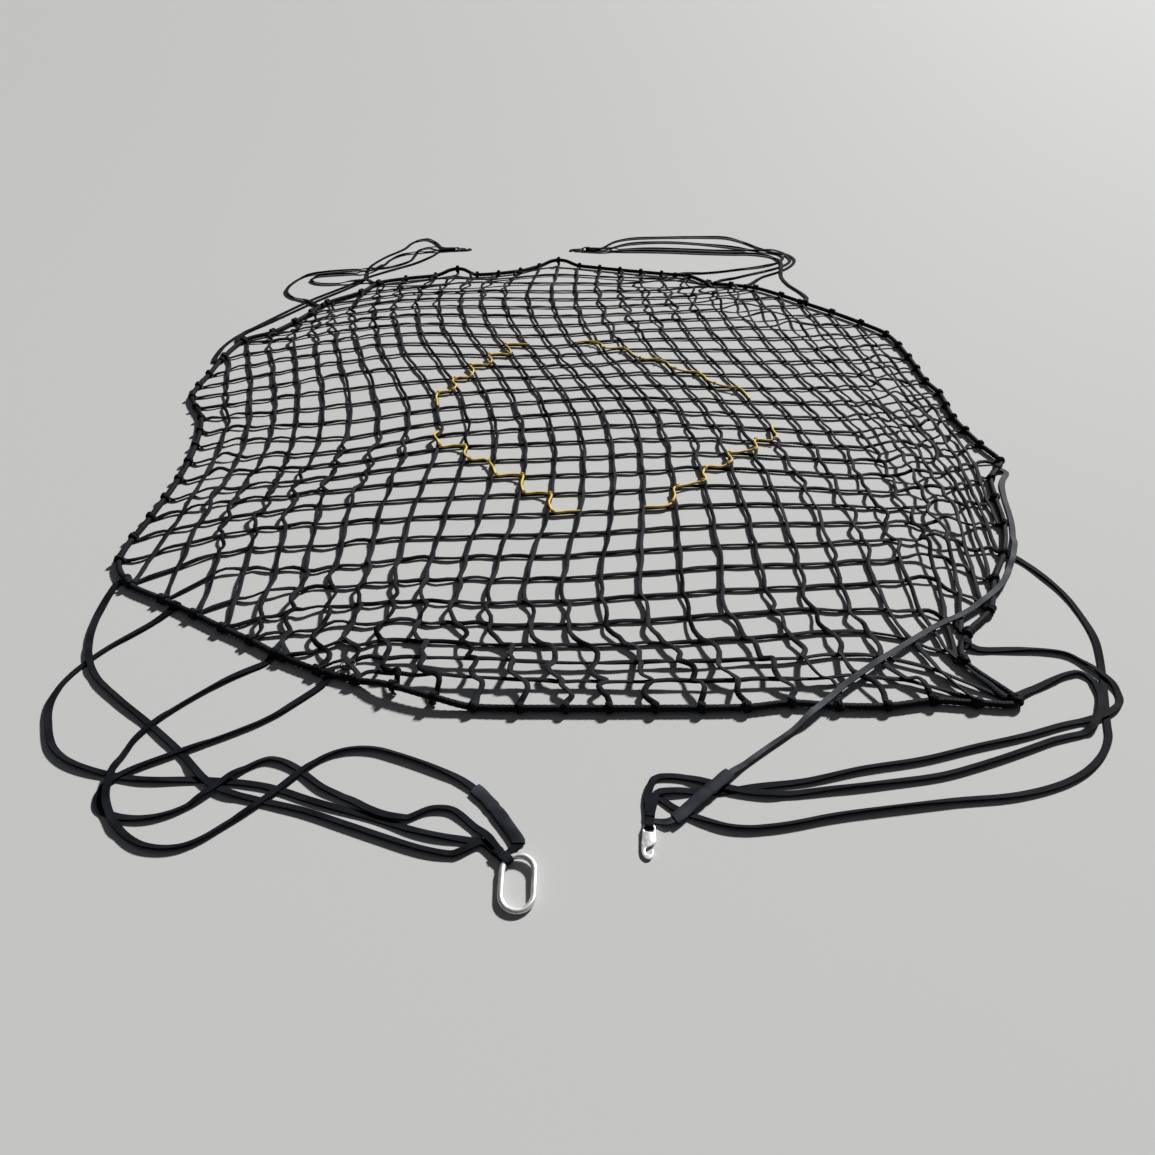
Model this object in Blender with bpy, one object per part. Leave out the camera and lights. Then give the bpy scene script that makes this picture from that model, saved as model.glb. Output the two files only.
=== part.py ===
"""A square-mesh cargo net, loosely laid out, with four lifting legs of webbing straps.

Lengths are in metres, +Z is up, +Y is away from the viewer, and the net's rope border rests on z = 0.
"""

import bpy
import numpy as np
from mathutils.geometry import tessellate_polygon

# Driving dimensions
MESH = 0.1524            # one mesh of the real net, 6 inches
HALF = 15                # meshes from the net's centre to each straight side
SIDE = 6                 # meshes from the middle of a straight side to its end
CORD_WIDE = 0.016        # net cord, across
CORD_HIGH = 0.014        # net cord, height
ROPE = 0.030             # border rope across its flats is ROPE * cos(22.5 degrees)
STRAP_WIDE = 0.024       # lifting strap webbing
STRAP_THICK = 0.007
SLEEVE_WALL = 0.003
FLAT = 0.5 * ROPE * np.cos(np.pi / 8)    # from the rope's centre to its flat sides
APART = 0.0005           # gap between pieces
REACH = HALF + SIDE      # |u| + |v| on the sloping sides
SLEEVE_WIDE = 0.044
SLEEVE_GAP = 0.0008
LONGEST_STEP = 0.06      # longest straight step of a strap
MOST_TURN = 0.33         # most turn of a strap between two points, radians
STEEPEST = 0.30          # steepest rise of a strap that lies over another
EYE_WIDE = 0.028         # stitched eye of a leg: width, wall, and length to the bar
EYE_WALL = 0.003
EYE_LONG = 0.055
HOOK_THICK = 0.008
HOOK_OUTLINE_END = 0.114
HOOK_EYE_RADIUS = 0.0080
HOOK_BAR_HIGH = 0.0118
RING_WIRE = 0.0095       # lifting ring: wire radius, half length, half width, centre
RING_LONG = 0.095
RING_WIDE = 0.058
RING_CENTRE = (-0.140, -2.855)
RING_BAR_HIGH = 0.0162
RING_HEIGHTS = (0.0176, 0.00878)
SMALL_RING = (-0.822, -1.978, 0.0243)    # it lies on the net: x, y, height
MIDDLE = (0.0002, 0.0855, 0.0)    # middle of the border rope in the tables below

# The border rope, going round from the left side's far end: mesh number, x, y, lift off the ground
BORDER = [
    (0, -2.17, 0.45, 0.0), (1, -2.18, 0.30, 0.0), (2, -2.17, 0.16, 0.0), (3, -2.10, 0.03, 0.0),
    (4, -2.03, -0.09, 0.0), (6, -1.96, -0.38, 0.0), (8, -1.93, -0.70, 0.0), (10, -1.94, -1.02, 0.0),
    (12, -1.95, -1.34, 0.0), (13, -1.84, -1.50, 0.0), (14, -1.66, -1.60, 0.0), (15, -1.50, -1.69, 0.0),
    (16, -1.36, -1.77, 0.0), (17, -1.23, -1.84, 0.0), (18, -1.08, -1.93, 0.0), (19, -0.93, -2.00, 0.0),
    (20, -0.78, -2.05, 0.0), (21, -0.63, -2.10, 0.03), (22, -0.48, -2.15, 0.02), (23, -0.33, -2.18, 0.0),
    (25, -0.01, -2.185, 0.0), (27, 0.31, -2.185, 0.0), (29, 0.64, -2.18, 0.0), (30, 0.80, -2.16, 0.0),
    (31, 0.97, -2.175, 0.0), (32, 1.14, -2.175, 0.0), (33, 1.31, -2.15, 0.0), (34, 1.46, -2.16, 0.0),
    (35, 1.61, -2.15, 0.0), (36, 1.49, -1.95, 0.0), (37, 1.56, -1.80, 0.0), (38, 1.70, -1.66, 0.0),
    (39, 1.79, -1.47, 0.0), (40, 1.90, -1.29, 0.0), (41, 1.985, -1.08, 0.0), (42, 2.03, -0.86, 0.0),
    (43, 2.075, -0.69, 0.0), (44, 2.1795, -0.54, 0.0), (45, 2.14, -0.37, 0.0), (47, 2.10, -0.08, 0.0),
    (49, 2.12, 0.20, 0.0), (50, 2.09, 0.36, 0.0), (52, 2.09, 0.68, 0.0), (54, 2.05, 1.03, 0.0),
    (55, 1.93, 1.21, 0.0), (56, 1.78, 1.39, 0.0), (57, 1.63, 1.55, 0.0), (58, 1.49, 1.70, 0.0),
    (59, 1.33, 1.84, 0.0), (60, 1.16, 1.90, 0.0), (61, 1.00, 1.94, 0.0), (62, 0.87, 2.08, 0.0),
    (63, 0.67, 2.13, 0.0), (65, 0.36, 2.21, 0.0), (67, 0.05, 2.30, 0.0), (68, -0.11, 2.36, 0.03),
    (69, -0.26, 2.29, 0.0), (70, -0.40, 2.19, 0.0), (72, -0.72, 2.11, 0.0), (73, -0.87, 2.17, 0.03),
    (74, -1.03, 2.09, 0.0), (75, -1.24, 2.03, 0.0), (76, -1.43, 1.94, 0.0), (77, -1.52, 1.76, 0.0),
    (78, -1.72, 1.56, 0.0), (79, -1.79, 1.39, 0.0), (80, -1.86, 1.23, 0.0), (81, -1.96, 1.06, 0.0),
    (82, -2.11, 0.93, 0.0), (83, -2.16, 0.69, 0.0),
]

# Where the net's own crossings lie on the ground: u across, v towards the viewer, x, y
PINS = [
    (-12, 0, -1.59, -0.30), (-12, 6, -1.57, -1.14), (-12, 8, -1.50, -1.39),
    (-9, 0, -1.18, -0.30), (-9, 3, -1.19, -0.68), (-9, 6, -1.17, -1.06), (-9, 8, -1.12, -1.42),
    (-6, -11, -1.24, 1.63), (-6, -5, -1.05, 0.75), (-6, -2, -0.78, 0.20), (-6, 2, -0.69, -0.39),
    (-6, 6, -0.74, -1.01), (-6, 10, -0.72, -1.60),
    (-3, -5, -0.52, 0.72), (-3, 0, -0.29, -0.06), (-3, 6, -0.25, -0.99), (-3, 11, -0.32, -1.75),
    (-1, -12, -0.49, 1.81), (0, -6, -0.13, 0.85), (0, 0, 0.18, 0.00), (0, 6, 0.20, -0.97),
    (0, 11, 0.13, -1.73),
    (3, -5, 0.34, 0.82), (3, 0, 0.62, 0.00), (3, 4, 0.65, -0.58), (3, 9, 0.66, -1.37),
    (3, 11, 0.62, -1.68),
    (6, -2, 0.96, 0.28), (6, 3, 1.10, -0.48), (6, 8, 1.16, -1.21), (6, 11, 1.12, -1.66),
    (9, 1, 1.56, -0.24), (9, 6, 1.58, -0.94), (9, 10, 1.57, -1.45),
    (-6, 12, -0.74, -1.83), (-6, 13, -0.69, -1.94), (-3, 12, -0.25, -1.86), (-3, 13, -0.20, -1.96),
    (-3, 14, -0.17, -2.05), (0, 12, 0.23, -1.86), (0, 13, 0.26, -1.96), (0, 14, 0.32, -2.06),
    (2, 12, 0.52, -1.84), (2, 13, 0.56, -1.95), (2, 14, 0.63, -2.06), (4, 12, 0.88, -1.80),
    (4, 13, 0.88, -1.94), (4, 14, 0.94, -2.05), (6, 12, 1.18, -1.77), (6, 13, 1.16, -1.92),
    (6, 14, 1.24, -2.04),
]

# Ruffles in the slack net: x, y, length along, width across, heading in degrees, height
RUFFLES = [
    (1.85, 0.30, 0.45, 0.07, 80, 0.040), (1.70, -0.60, 0.50, 0.07, 100, 0.035),
    (1.95, -0.15, 0.30, 0.06, 85, 0.030), (1.30, 1.35, 0.45, 0.08, 135, 0.040),
    (-1.75, -0.60, 0.40, 0.06, 95, 0.022), (-0.42, -2.00, 0.30, 0.07, 0, 0.030),
    (-1.25, -1.55, 0.35, 0.06, 150, 0.020), (-0.85, 1.95, 0.30, 0.07, 175, 0.030),
    (0.75, 1.90, 0.35, 0.07, 165, 0.030), (1.66, -1.18, 0.30, 0.07, 60, 0.030),
    (0.45, -2.02, 0.75, 0.08, 0, 0.022),
]

# Lifting legs: the plan point where a leg's strap ends meet its stitched eye, and the heading there
LEGS = {
    "front_left": (-0.2129, -2.7451, -45.0),
    "front_right": (0.2649, -2.6089, -97.0),
    "front_left_side": (-0.1818, -2.7564, 225.0),
    "front_right_side": (0.2752, -2.6404, 173.0),
    "back_left": (-0.985, 2.700, 4.0),
    "back_right": (0.135, 2.690, 178.0),
}

# Lifting straps in the order in which they lie: name, leg, border mesh number, place across the eye,
# shares of the length inside a sleeve, run over the net, and the route over the ground
STRAPS = [
    ("strap_front_left_2", "front_left", 14.4, -0.015, (0, 0), None, [
        (-1.68, -1.76), (-1.78, -1.88), (-1.85, -2.02), (-1.86, -2.13), (-1.82, -2.24), (-1.74, -2.36),
        (-1.62, -2.43), (-1.42, -2.48), (-1.18, -2.485), (-0.98, -2.51), (-0.80, -2.57), (-0.60, -2.63),
        (-0.47, -2.675), (-0.36, -2.70)]),
    ("strap_front_left_1", "front_left", 12.8, -0.015, (0, 0), None, [
        (-1.90, -1.62), (-1.88, -1.76), (-1.84, -1.88), (-1.76, -2.01), (-1.62, -2.13), (-1.46, -2.25),
        (-1.31, -2.37), (-1.15, -2.51), (-0.98, -2.565), (-0.84, -2.60), (-0.71, -2.645), (-0.57, -2.695),
        (-0.45, -2.735), (-0.34, -2.755)]),
    ("strap_front_left_4", "front_left", 19.3, 0.015, (0, 0), None, [
        (-0.97, -2.14), (-1.05, -2.22), (-1.18, -2.30), (-1.33, -2.38), (-1.45, -2.45), (-1.51, -2.52),
        (-1.49, -2.59), (-1.41, -2.625), (-1.33, -2.63), (-1.24, -2.605), (-1.16, -2.54), (-1.08, -2.45),
        (-1.00, -2.40), (-0.91, -2.43), (-0.80, -2.51), (-0.70, -2.56), (-0.60, -2.61), (-0.51, -2.63),
        (-0.43, -2.595), (-0.36, -2.60), (-0.30, -2.65)]),
    ("strap_front_left_3", "front_left_side", 17.75, 0.0, (0.875, 0.975), None, [
        (-1.23, -2.01), (-1.33, -2.10), (-1.44, -2.23), (-1.49, -2.34), (-1.50, -2.46), (-1.47, -2.57),
        (-1.39, -2.67), (-1.28, -2.73), (-1.16, -2.725), (-1.05, -2.64), (-0.95, -2.54), (-0.86, -2.43),
        (-0.78, -2.37), (-0.67, -2.355), (-0.55, -2.39), (-0.43, -2.44), (-0.33, -2.495), (-0.25, -2.57),
        (-0.19, -2.65)]),
    ("strap_front_right_2", "front_right", 40.0, -0.015, (0, 0), None, [
        (2.00, -1.40), (2.05, -1.55), (2.06, -1.70), (2.05, -1.82), (2.01, -1.95), (1.96, -2.08),
        (1.90, -2.22), (1.85, -2.33), (1.75, -2.43), (1.62, -2.50), (1.45, -2.545), (1.25, -2.565),
        (1.05, -2.59), (0.85, -2.62), (0.68, -2.655), (0.54, -2.665), (0.43, -2.635), (0.34, -2.59),
        (0.285, -2.545)]),
    ("strap_front_right_3", "front_right", 36.6, 0.015, (0, 0), None, [
        (1.66, -1.88), (1.78, -1.88), (1.90, -1.90), (1.96, -1.97), (2.00, -2.06), (1.98, -2.15),
        (1.88, -2.215), (1.74, -2.25), (1.58, -2.30), (1.40, -2.345), (1.20, -2.40), (0.98, -2.44),
        (0.78, -2.49), (0.62, -2.51), (0.50, -2.53), (0.38, -2.53), (0.30, -2.535)]),
    ("strap_front_right_4", "front_right", 35.15, -0.015, (0, 0), None, [
        (1.75, -2.06), (1.84, -2.015), (1.905, -2.0), (1.935, -2.04), (1.92, -2.13),
        (1.82, -2.27), (1.68, -2.315), (1.56, -2.36), (1.42, -2.41), (1.24, -2.465), (1.05, -2.495),
        (0.86, -2.52), (0.70, -2.54), (0.57, -2.53), (0.44, -2.49), (0.35, -2.47), (0.29, -2.48)]),
    ("strap_front_right_1", "front_right_side", 43.6, 0.0, (0.885, 0.973), (0.93, 2.14), [
        (2.125, -0.71), (2.085, -0.84), (2.045, -1.02), (2.006, -1.14), (1.945, -1.285), (1.85, -1.45),
        (1.765, -1.55), (1.60, -1.68), (1.44, -1.77), (1.28, -1.88), (1.13, -1.99), (0.99, -2.10),
        (0.90, -2.18), (0.78, -2.28), (0.66, -2.37), (0.56, -2.45), (0.46, -2.535), (0.385, -2.60)]),
    ("strap_back_left_1", "back_left", 83.2, -0.015, (0, 0), None, [
        (-2.225, 0.74), (-2.22, 0.88), (-2.18, 1.03), (-2.10, 1.19), (-1.98, 1.42), (-1.85, 1.65),
        (-1.69, 1.87), (-1.53, 2.10), (-1.37, 2.26), (-1.22, 2.40), (-1.12, 2.55), (-1.08, 2.65)]),
    ("strap_back_left_4", "back_left", 82.0, 0.015, (0, 0), None, [
        (-2.15, 1.06), (-2.05, 1.22), (-1.93, 1.42), (-1.80, 1.64), (-1.64, 1.87), (-1.55, 2.05),
        (-1.57, 2.28), (-1.49, 2.52), (-1.37, 2.72), (-1.31, 2.90), (-1.21, 2.96), (-1.13, 2.88),
        (-1.08, 2.77)]),
    ("strap_back_left_2", "back_left", 78.3, 0.015, (0, 0), None, [
        (-1.88, 1.62), (-2.00, 1.69), (-2.08, 1.82), (-2.07, 1.98), (-2.00, 2.13), (-1.86, 2.20),
        (-1.70, 2.24), (-1.52, 2.27), (-1.38, 2.33), (-1.28, 2.44), (-1.26, 2.56), (-1.24, 2.70),
        (-1.16, 2.76), (-1.08, 2.73)]),
    ("strap_back_left_3", "back_left", 76.0, -0.015, (0, 0), None, [
        (-1.52, 2.00), (-1.62, 1.98), (-1.76, 1.95), (-1.88, 1.96), (-1.95, 2.03), (-1.92, 2.11),
        (-1.82, 2.14), (-1.70, 2.16), (-1.55, 2.19), (-1.47, 2.33), (-1.43, 2.48), (-1.34, 2.60),
        (-1.20, 2.65), (-1.10, 2.67)]),
    ("strap_back_right_1", "back_right", 62.5, -0.015, (0, 0), None, [
        (0.86, 2.18), (0.97, 2.18), (1.12, 2.21), (1.30, 2.27), (1.46, 2.32), (1.60, 2.41),
        (1.66, 2.53), (1.60, 2.65), (1.50, 2.76), (1.40, 2.90), (1.28, 3.00), (1.10, 3.02),
        (0.92, 3.02), (0.70, 3.01), (0.48, 2.98), (0.34, 2.90), (0.26, 2.78)]),
    ("strap_back_right_2", "back_right", 60.7, -0.015, (0, 0), None, [
        (1.11, 2.03), (1.20, 2.07), (1.32, 2.14), (1.48, 2.23), (1.62, 2.33), (1.70, 2.44),
        (1.69, 2.56), (1.58, 2.64), (1.40, 2.72), (1.20, 2.80), (1.00, 2.86), (0.80, 2.89),
        (0.60, 2.88), (0.42, 2.83), (0.28, 2.73)]),
    ("strap_back_right_3", "back_right", 59.4, 0.015, (0, 0), None, [
        (1.33, 1.97), (1.43, 2.10), (1.55, 2.19), (1.67, 2.31), (1.74, 2.46), (1.71, 2.59),
        (1.61, 2.66), (1.45, 2.665), (1.25, 2.67), (1.02, 2.695), (0.80, 2.72), (0.60, 2.73),
        (0.40, 2.715), (0.27, 2.70)]),
    ("strap_back_right_4", "back_right", 57.2, 0.015, (0, 0), None, [
        (1.67, 1.67), (1.65, 1.78), (1.59, 1.94), (1.57, 2.10), (1.60, 2.26), (1.62, 2.42),
        (1.57, 2.54), (1.44, 2.60), (1.25, 2.605), (1.02, 2.625), (0.80, 2.65), (0.60, 2.665),
        (0.42, 2.665), (0.28, 2.67)]),
]

# Flat plate hook seen from above: across and ahead of the slot bar's centre
HOOK_OUTLINE = [
    (-0.0195, -0.006), (0.0195, -0.006), (0.02, 0.022), (0.02, 0.04), (0.02, 0.06),
    (0.02, 0.078), (0.0175, 0.094), (0.009, 0.107), (-0.002, 0.112), (-0.0125, 0.108),
    (-0.0185, 0.098), (-0.0195, 0.086), (-0.0175, 0.0785), (-0.013, 0.0775), (-0.0115, 0.088),
    (-0.0065, 0.0965), (0.0005, 0.0975), (0.006, 0.0925), (0.007, 0.084), (0.0045, 0.0755),
    (-0.0015, 0.07), (-0.012, 0.0645), (-0.024, 0.053), (-0.0225, 0.04), (-0.0205, 0.022),
]
HOOK_SLOT = [(-0.015, 0.006), (0.015, 0.006), (0.015, 0.021), (-0.015, 0.021)]


def clear_scene():
    for thing in list(bpy.data.objects):
        bpy.data.objects.remove(thing, do_unlink=True)


def border_uv(step):
    """Grid coordinates of border crossing number step, going round from (-15, -6)."""
    corner = [(-15, -6), (-15, 6), (-6, 15), (6, 15), (15, 6), (15, -6), (6, -15), (-6, -15), (-15, -6)]
    start = [0, 12, 21, 33, 42, 54, 63, 75, 84]
    place = step % 84
    side = int(np.searchsorted(start, place, side="right")) - 1
    share = (place - start[side]) / (start[side + 1] - start[side])
    first, last = np.array(corner[side], float), np.array(corner[side + 1], float)
    return first + share * (last - first)


def round_spline(knots, values, at):
    """Periodic cubic through values at knots (period 84), with finite-difference slopes."""
    knots, values = np.asarray(knots, float), np.asarray(values, float)
    t = np.concatenate([knots[-2:] - 84, knots, knots[:3] + 84])
    p = np.concatenate([values[-2:], values, values[:3]])
    slope = (p[2:] - p[:-2]) / (t[2:] - t[:-2])[:, None]
    at = np.mod(np.asarray(at, float), 84)
    i = np.searchsorted(t, at, side="right") - 1
    gap = (t[i + 1] - t[i])[:, None]
    s = ((at - t[i]) / (t[i + 1] - t[i]))[:, None]
    a, b = slope[i - 1] * gap, slope[i] * gap
    return ((2 * s**3 - 3 * s**2 + 1) * p[i] + (s**3 - 2 * s**2 + s) * a
            + (3 * s**2 - 2 * s**3) * p[i + 1] + (s**3 - s**2) * b)


def border_line(at):
    """Points of the border rope's centre line at mesh numbers at."""
    table = np.array(BORDER)
    line = round_spline(table[:, 0], table[:, 1:], at)
    line[:, 2] = np.maximum(line[:, 2], 0) + FLAT
    return line


def outward():
    """Plan normals of the border rope at its crossings, out of the net and mitred for its turns."""
    line = border_line(np.arange(84))[:, :2]
    first, second = line - np.roll(line, 1, axis=0), np.roll(line, -1, axis=0) - line
    first /= np.linalg.norm(first, axis=1)[:, None]
    second /= np.linalg.norm(second, axis=1)[:, None]
    both = np.stack([first[:, 1] + second[:, 1], -first[:, 0] - second[:, 0]], axis=1)
    length = np.linalg.norm(both, axis=1)[:, None]
    return both / length / np.maximum(0.5 * length, 0.6)


def ground_height(xy):
    """Height of the cord's centre above the ground, with the ruffles."""
    rise = np.zeros(len(xy))
    for x, y, along, across, heading, height in RUFFLES:
        turn = np.radians(heading)
        dx, dy = xy[:, 0] - x, xy[:, 1] - y
        far = dx * np.cos(turn) + dy * np.sin(turn)
        off = -dx * np.sin(turn) + dy * np.cos(turn)
        rise += height * np.exp(-((far / along) ** 2) - (off / across) ** 2)
    return rise + 0.5 * CORD_HIGH + APART


def net_points():
    """Plan position of every crossing: the smoothest spacing that meets the border and the pins."""
    inside = {}
    for u in range(-HALF, HALF + 1):
        for v in range(-HALF, HALF + 1):
            if abs(u) + abs(v) <= REACH:
                inside[(u, v)] = len(inside)
    rows, wants = [], []

    def rule(terms, target, weight):
        row = np.zeros(len(inside))
        for key, factor in terms:
            row[inside[key]] += weight * factor
        rows.append(row)
        wants.append(weight * np.asarray(target, float))

    for u, v in inside:
        for du, dv in ((1, 0), (0, 1)):
            near, far = (u - du, v - dv), (u + du, v + dv)
            if near in inside and far in inside:
                rule([(near, 1), ((u, v), -2), (far, 1)], (0, 0), 1.0)
    rim = border_line(np.arange(84))[:, :2] - outward() * (FLAT + APART + 0.5 * CORD_WIDE)
    for step, spot in enumerate(rim):
        key = tuple(int(round(c)) for c in border_uv(step))
        rule([(key, 1)], spot, 200.0)
    for u, v, x, y in PINS:
        rule([((u, v), 1)], (x, y), 3.0)
    grid = np.array(rows)
    places = np.linalg.solve(grid.T @ grid, grid.T @ np.array(wants))
    return inside, places


def make_object(name, points, faces, material):
    """An object whose origin is the middle of the laid-out net, on the ground."""
    moved = np.array(points, float) - np.array(MIDDLE)
    mesh = bpy.data.meshes.new(name)
    mesh.from_pydata(moved.tolist(), [], [tuple(f) for f in faces])
    mesh.validate()
    made = bpy.data.objects.new(name, mesh)
    made.data.materials.append(material)
    bpy.context.scene.collection.objects.link(made)
    return made


def plain_material(name, colour, roughness, metallic=0.0):
    made = bpy.data.materials.new(name)
    made.use_nodes = True
    shader = made.node_tree.nodes["Principled BSDF"]
    shader.inputs["Base Color"].default_value = (*colour, 1.0)
    shader.inputs["Roughness"].default_value = roughness
    shader.inputs["Metallic"].default_value = metallic
    return made


def closed_sweep(sections, ring):
    """Faces of a sweep through sections of equal count: a ring, or a bar with flat ends."""
    count, sides = len(sections), len(sections[0])
    faces = []
    for i in range(count if ring else count - 1):
        j = (i + 1) % count
        for a in range(sides):
            b = (a + 1) % sides
            faces.append((j * sides + a, j * sides + b, i * sides + b, i * sides + a))
    if not ring:
        faces.append(tuple(range(sides)))
        faces.append(tuple((count - 1) * sides + a for a in range(sides))[::-1])
    return faces


def cell_corners(u, v):
    """Crossings round the two-by-two-mesh cell whose first corner is (u, v), kept inside the border."""
    around = [(0, 0), (1, 0), (2, 0), (2, 1), (2, 2), (1, 2), (0, 2), (0, 1)]
    return [(u + a, v + b) for a, b in around if abs(u + a) + abs(v + b) <= REACH]


def inset(loop, distance):
    """A closed plan loop moved to its left by distance, with mitred corners."""
    before, after = np.roll(loop, 1, axis=0), np.roll(loop, -1, axis=0)
    first, second = loop - before, after - loop
    first /= np.linalg.norm(first, axis=1)[:, None]
    second /= np.linalg.norm(second, axis=1)[:, None]
    normal = np.stack([-first[:, 1] - second[:, 1], first[:, 0] + second[:, 0]], axis=1)
    length = np.linalg.norm(normal, axis=1)[:, None]
    return loop + normal / length * distance / np.maximum(0.5 * length, 0.6)


def build_net(material):
    """The net, cut through at every second cord: a ridge along each cord and a loop round each gap."""
    inside, places = net_points()
    height = ground_height(places)
    rim_steps = {tuple(int(round(c)) for c in border_uv(s)): s for s in range(84)}
    rope_height = border_line(np.arange(84))[:, 2]
    for key, step in rim_steps.items():
        height[inside[key]] = rope_height[step]
    points, used, faces = [], {}, []

    def ridge(key, side):
        if (key, side) not in used:
            x, y = places[inside[key]]
            used[(key, side)] = len(points)
            points.append((x, y, height[inside[key]] + 0.5 * CORD_HIGH * side))
        return used[(key, side)]

    def add_gap(keys, loop):
        base = len(points)
        points.extend((x, y, height[inside[k]]) for (x, y), k in zip(loop, keys))
        for i in range(len(keys)):
            j = (i + 1) % len(keys)
            faces.append((ridge(keys[i], 1), ridge(keys[j], 1), base + j, base + i))
            faces.append((ridge(keys[j], -1), ridge(keys[i], -1), base + i, base + j))

    gaps = 0
    for u in range(-HALF, HALF, 2):
        for v in range(-HALF, HALF, 2):
            keys = cell_corners(u, v)
            if len(keys) < 3:
                continue
            keys = keys[::-1]
            add_gap(keys, inset(np.array([places[inside[k]] for k in keys]), 0.5 * CORD_WIDE))
            gaps += 1
    rim = [tuple(int(round(c)) for c in border_uv(s)) for s in range(84)]
    loop = border_line(np.arange(84))[:, :2] - outward() * (FLAT + APART)
    add_gap(rim[::-1], loop[::-1])
    print("gaps in the net:", gaps)
    return make_object("net_mesh", points, faces, material)


def rope_sections():
    """The border rope's octagon at each crossing, flat underneath, widened where the rope turns."""
    centre, normal = border_line(np.arange(84)), outward()
    angle = np.radians(22.5 + 45 * np.arange(8))
    across, up = 0.5 * ROPE * np.cos(angle), 0.5 * ROPE * np.sin(angle)
    plan = centre[:, None, :2] + normal[:, None, :] * across[None, :, None]
    tall = centre[:, None, 2] + up[None, :]
    return np.concatenate([plan, tall[:, :, None]], axis=2)


def build_border(material):
    sections = rope_sections()
    faces = closed_sweep(sections, ring=True)
    return make_object("border_rope", sections.reshape(-1, 3), faces, material)


def ease_through(points, spacing):
    """A smooth plan line through points, sampled evenly."""
    points = np.array(points, float)
    knots = np.concatenate([[0], np.cumsum(np.linalg.norm(np.diff(points, axis=0), axis=1))])
    slope = np.empty_like(points)
    slope[1:-1] = (points[2:] - points[:-2]) / (knots[2:] - knots[:-2])[:, None]
    slope[0] = (points[1] - points[0]) / knots[1]
    slope[-1] = (points[-1] - points[-2]) / (knots[-1] - knots[-2])
    at = np.linspace(0, knots[-1], int(knots[-1] / spacing) + 2)
    i = np.clip(np.searchsorted(knots, at, side="right") - 1, 0, len(points) - 2)
    gap = (knots[i + 1] - knots[i])[:, None]
    s = (at - knots[i])[:, None] / gap
    return ((2 * s**3 - 3 * s**2 + 1) * points[i] + (s**3 - 2 * s**2 + s) * slope[i] * gap
            + (3 * s**2 - 2 * s**3) * points[i + 1] + (s**3 - s**2) * slope[i + 1] * gap)


def thin_out(line):
    """Keeps a bend's points close together and a straight run's far apart."""
    keep = [0]
    heading = np.unwrap(np.arctan2(*np.diff(line, axis=0).T[::-1]))
    for i in range(1, len(line) - 1):
        far = np.linalg.norm(line[i] - line[keep[-1]])
        turned = abs(heading[i] - heading[keep[-1]])
        if far > LONGEST_STEP or (turned > MOST_TURN and far > 0.012):
            keep.append(i)
    if np.linalg.norm(line[-1] - line[keep[-1]]) < 0.02 and len(keep) > 2:
        keep.pop()
    return line[keep + [len(line) - 1]]


def plan_normals(line, start, end):
    """Mitred left-hand normals of an open plan line whose ends are cut square to two directions."""
    first = np.diff(line, axis=0)
    first /= np.linalg.norm(first, axis=1)[:, None]
    before, after = np.vstack([start, first]), np.vstack([first, end])
    before[-1], after[0] = end, start
    both = np.stack([-before[:, 1] - after[:, 1], before[:, 0] + after[:, 0]], axis=1)
    length = np.linalg.norm(both, axis=1)[:, None]
    return both / length / np.maximum(0.5 * length, 0.7)


def rope_side(step):
    """A point on the border rope's outer flat, its outward direction and its height."""
    line = border_line(np.arange(84))
    i, share = int(step) % 84, step - int(step)
    j = (i + 1) % 84
    edge = line[:, :2] + outward() * FLAT
    ahead = edge[j] - edge[i]
    ahead /= np.linalg.norm(ahead)
    normal = np.array([ahead[1], -ahead[0]])
    height = (1 - share) * line[i, 2] + share * line[j, 2]
    return (1 - share) * edge[i] + share * edge[j] + normal * APART, normal, height


def leg_end(leg, lateral):
    """Where a strap of this leg ends, and its heading there."""
    x, y, heading = LEGS[leg][:3]
    turn = np.radians(heading)
    ahead = np.array([np.cos(turn), np.sin(turn)])
    return np.array([x, y]) + lateral * np.array([-ahead[1], ahead[0]]) - APART * ahead, ahead


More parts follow.
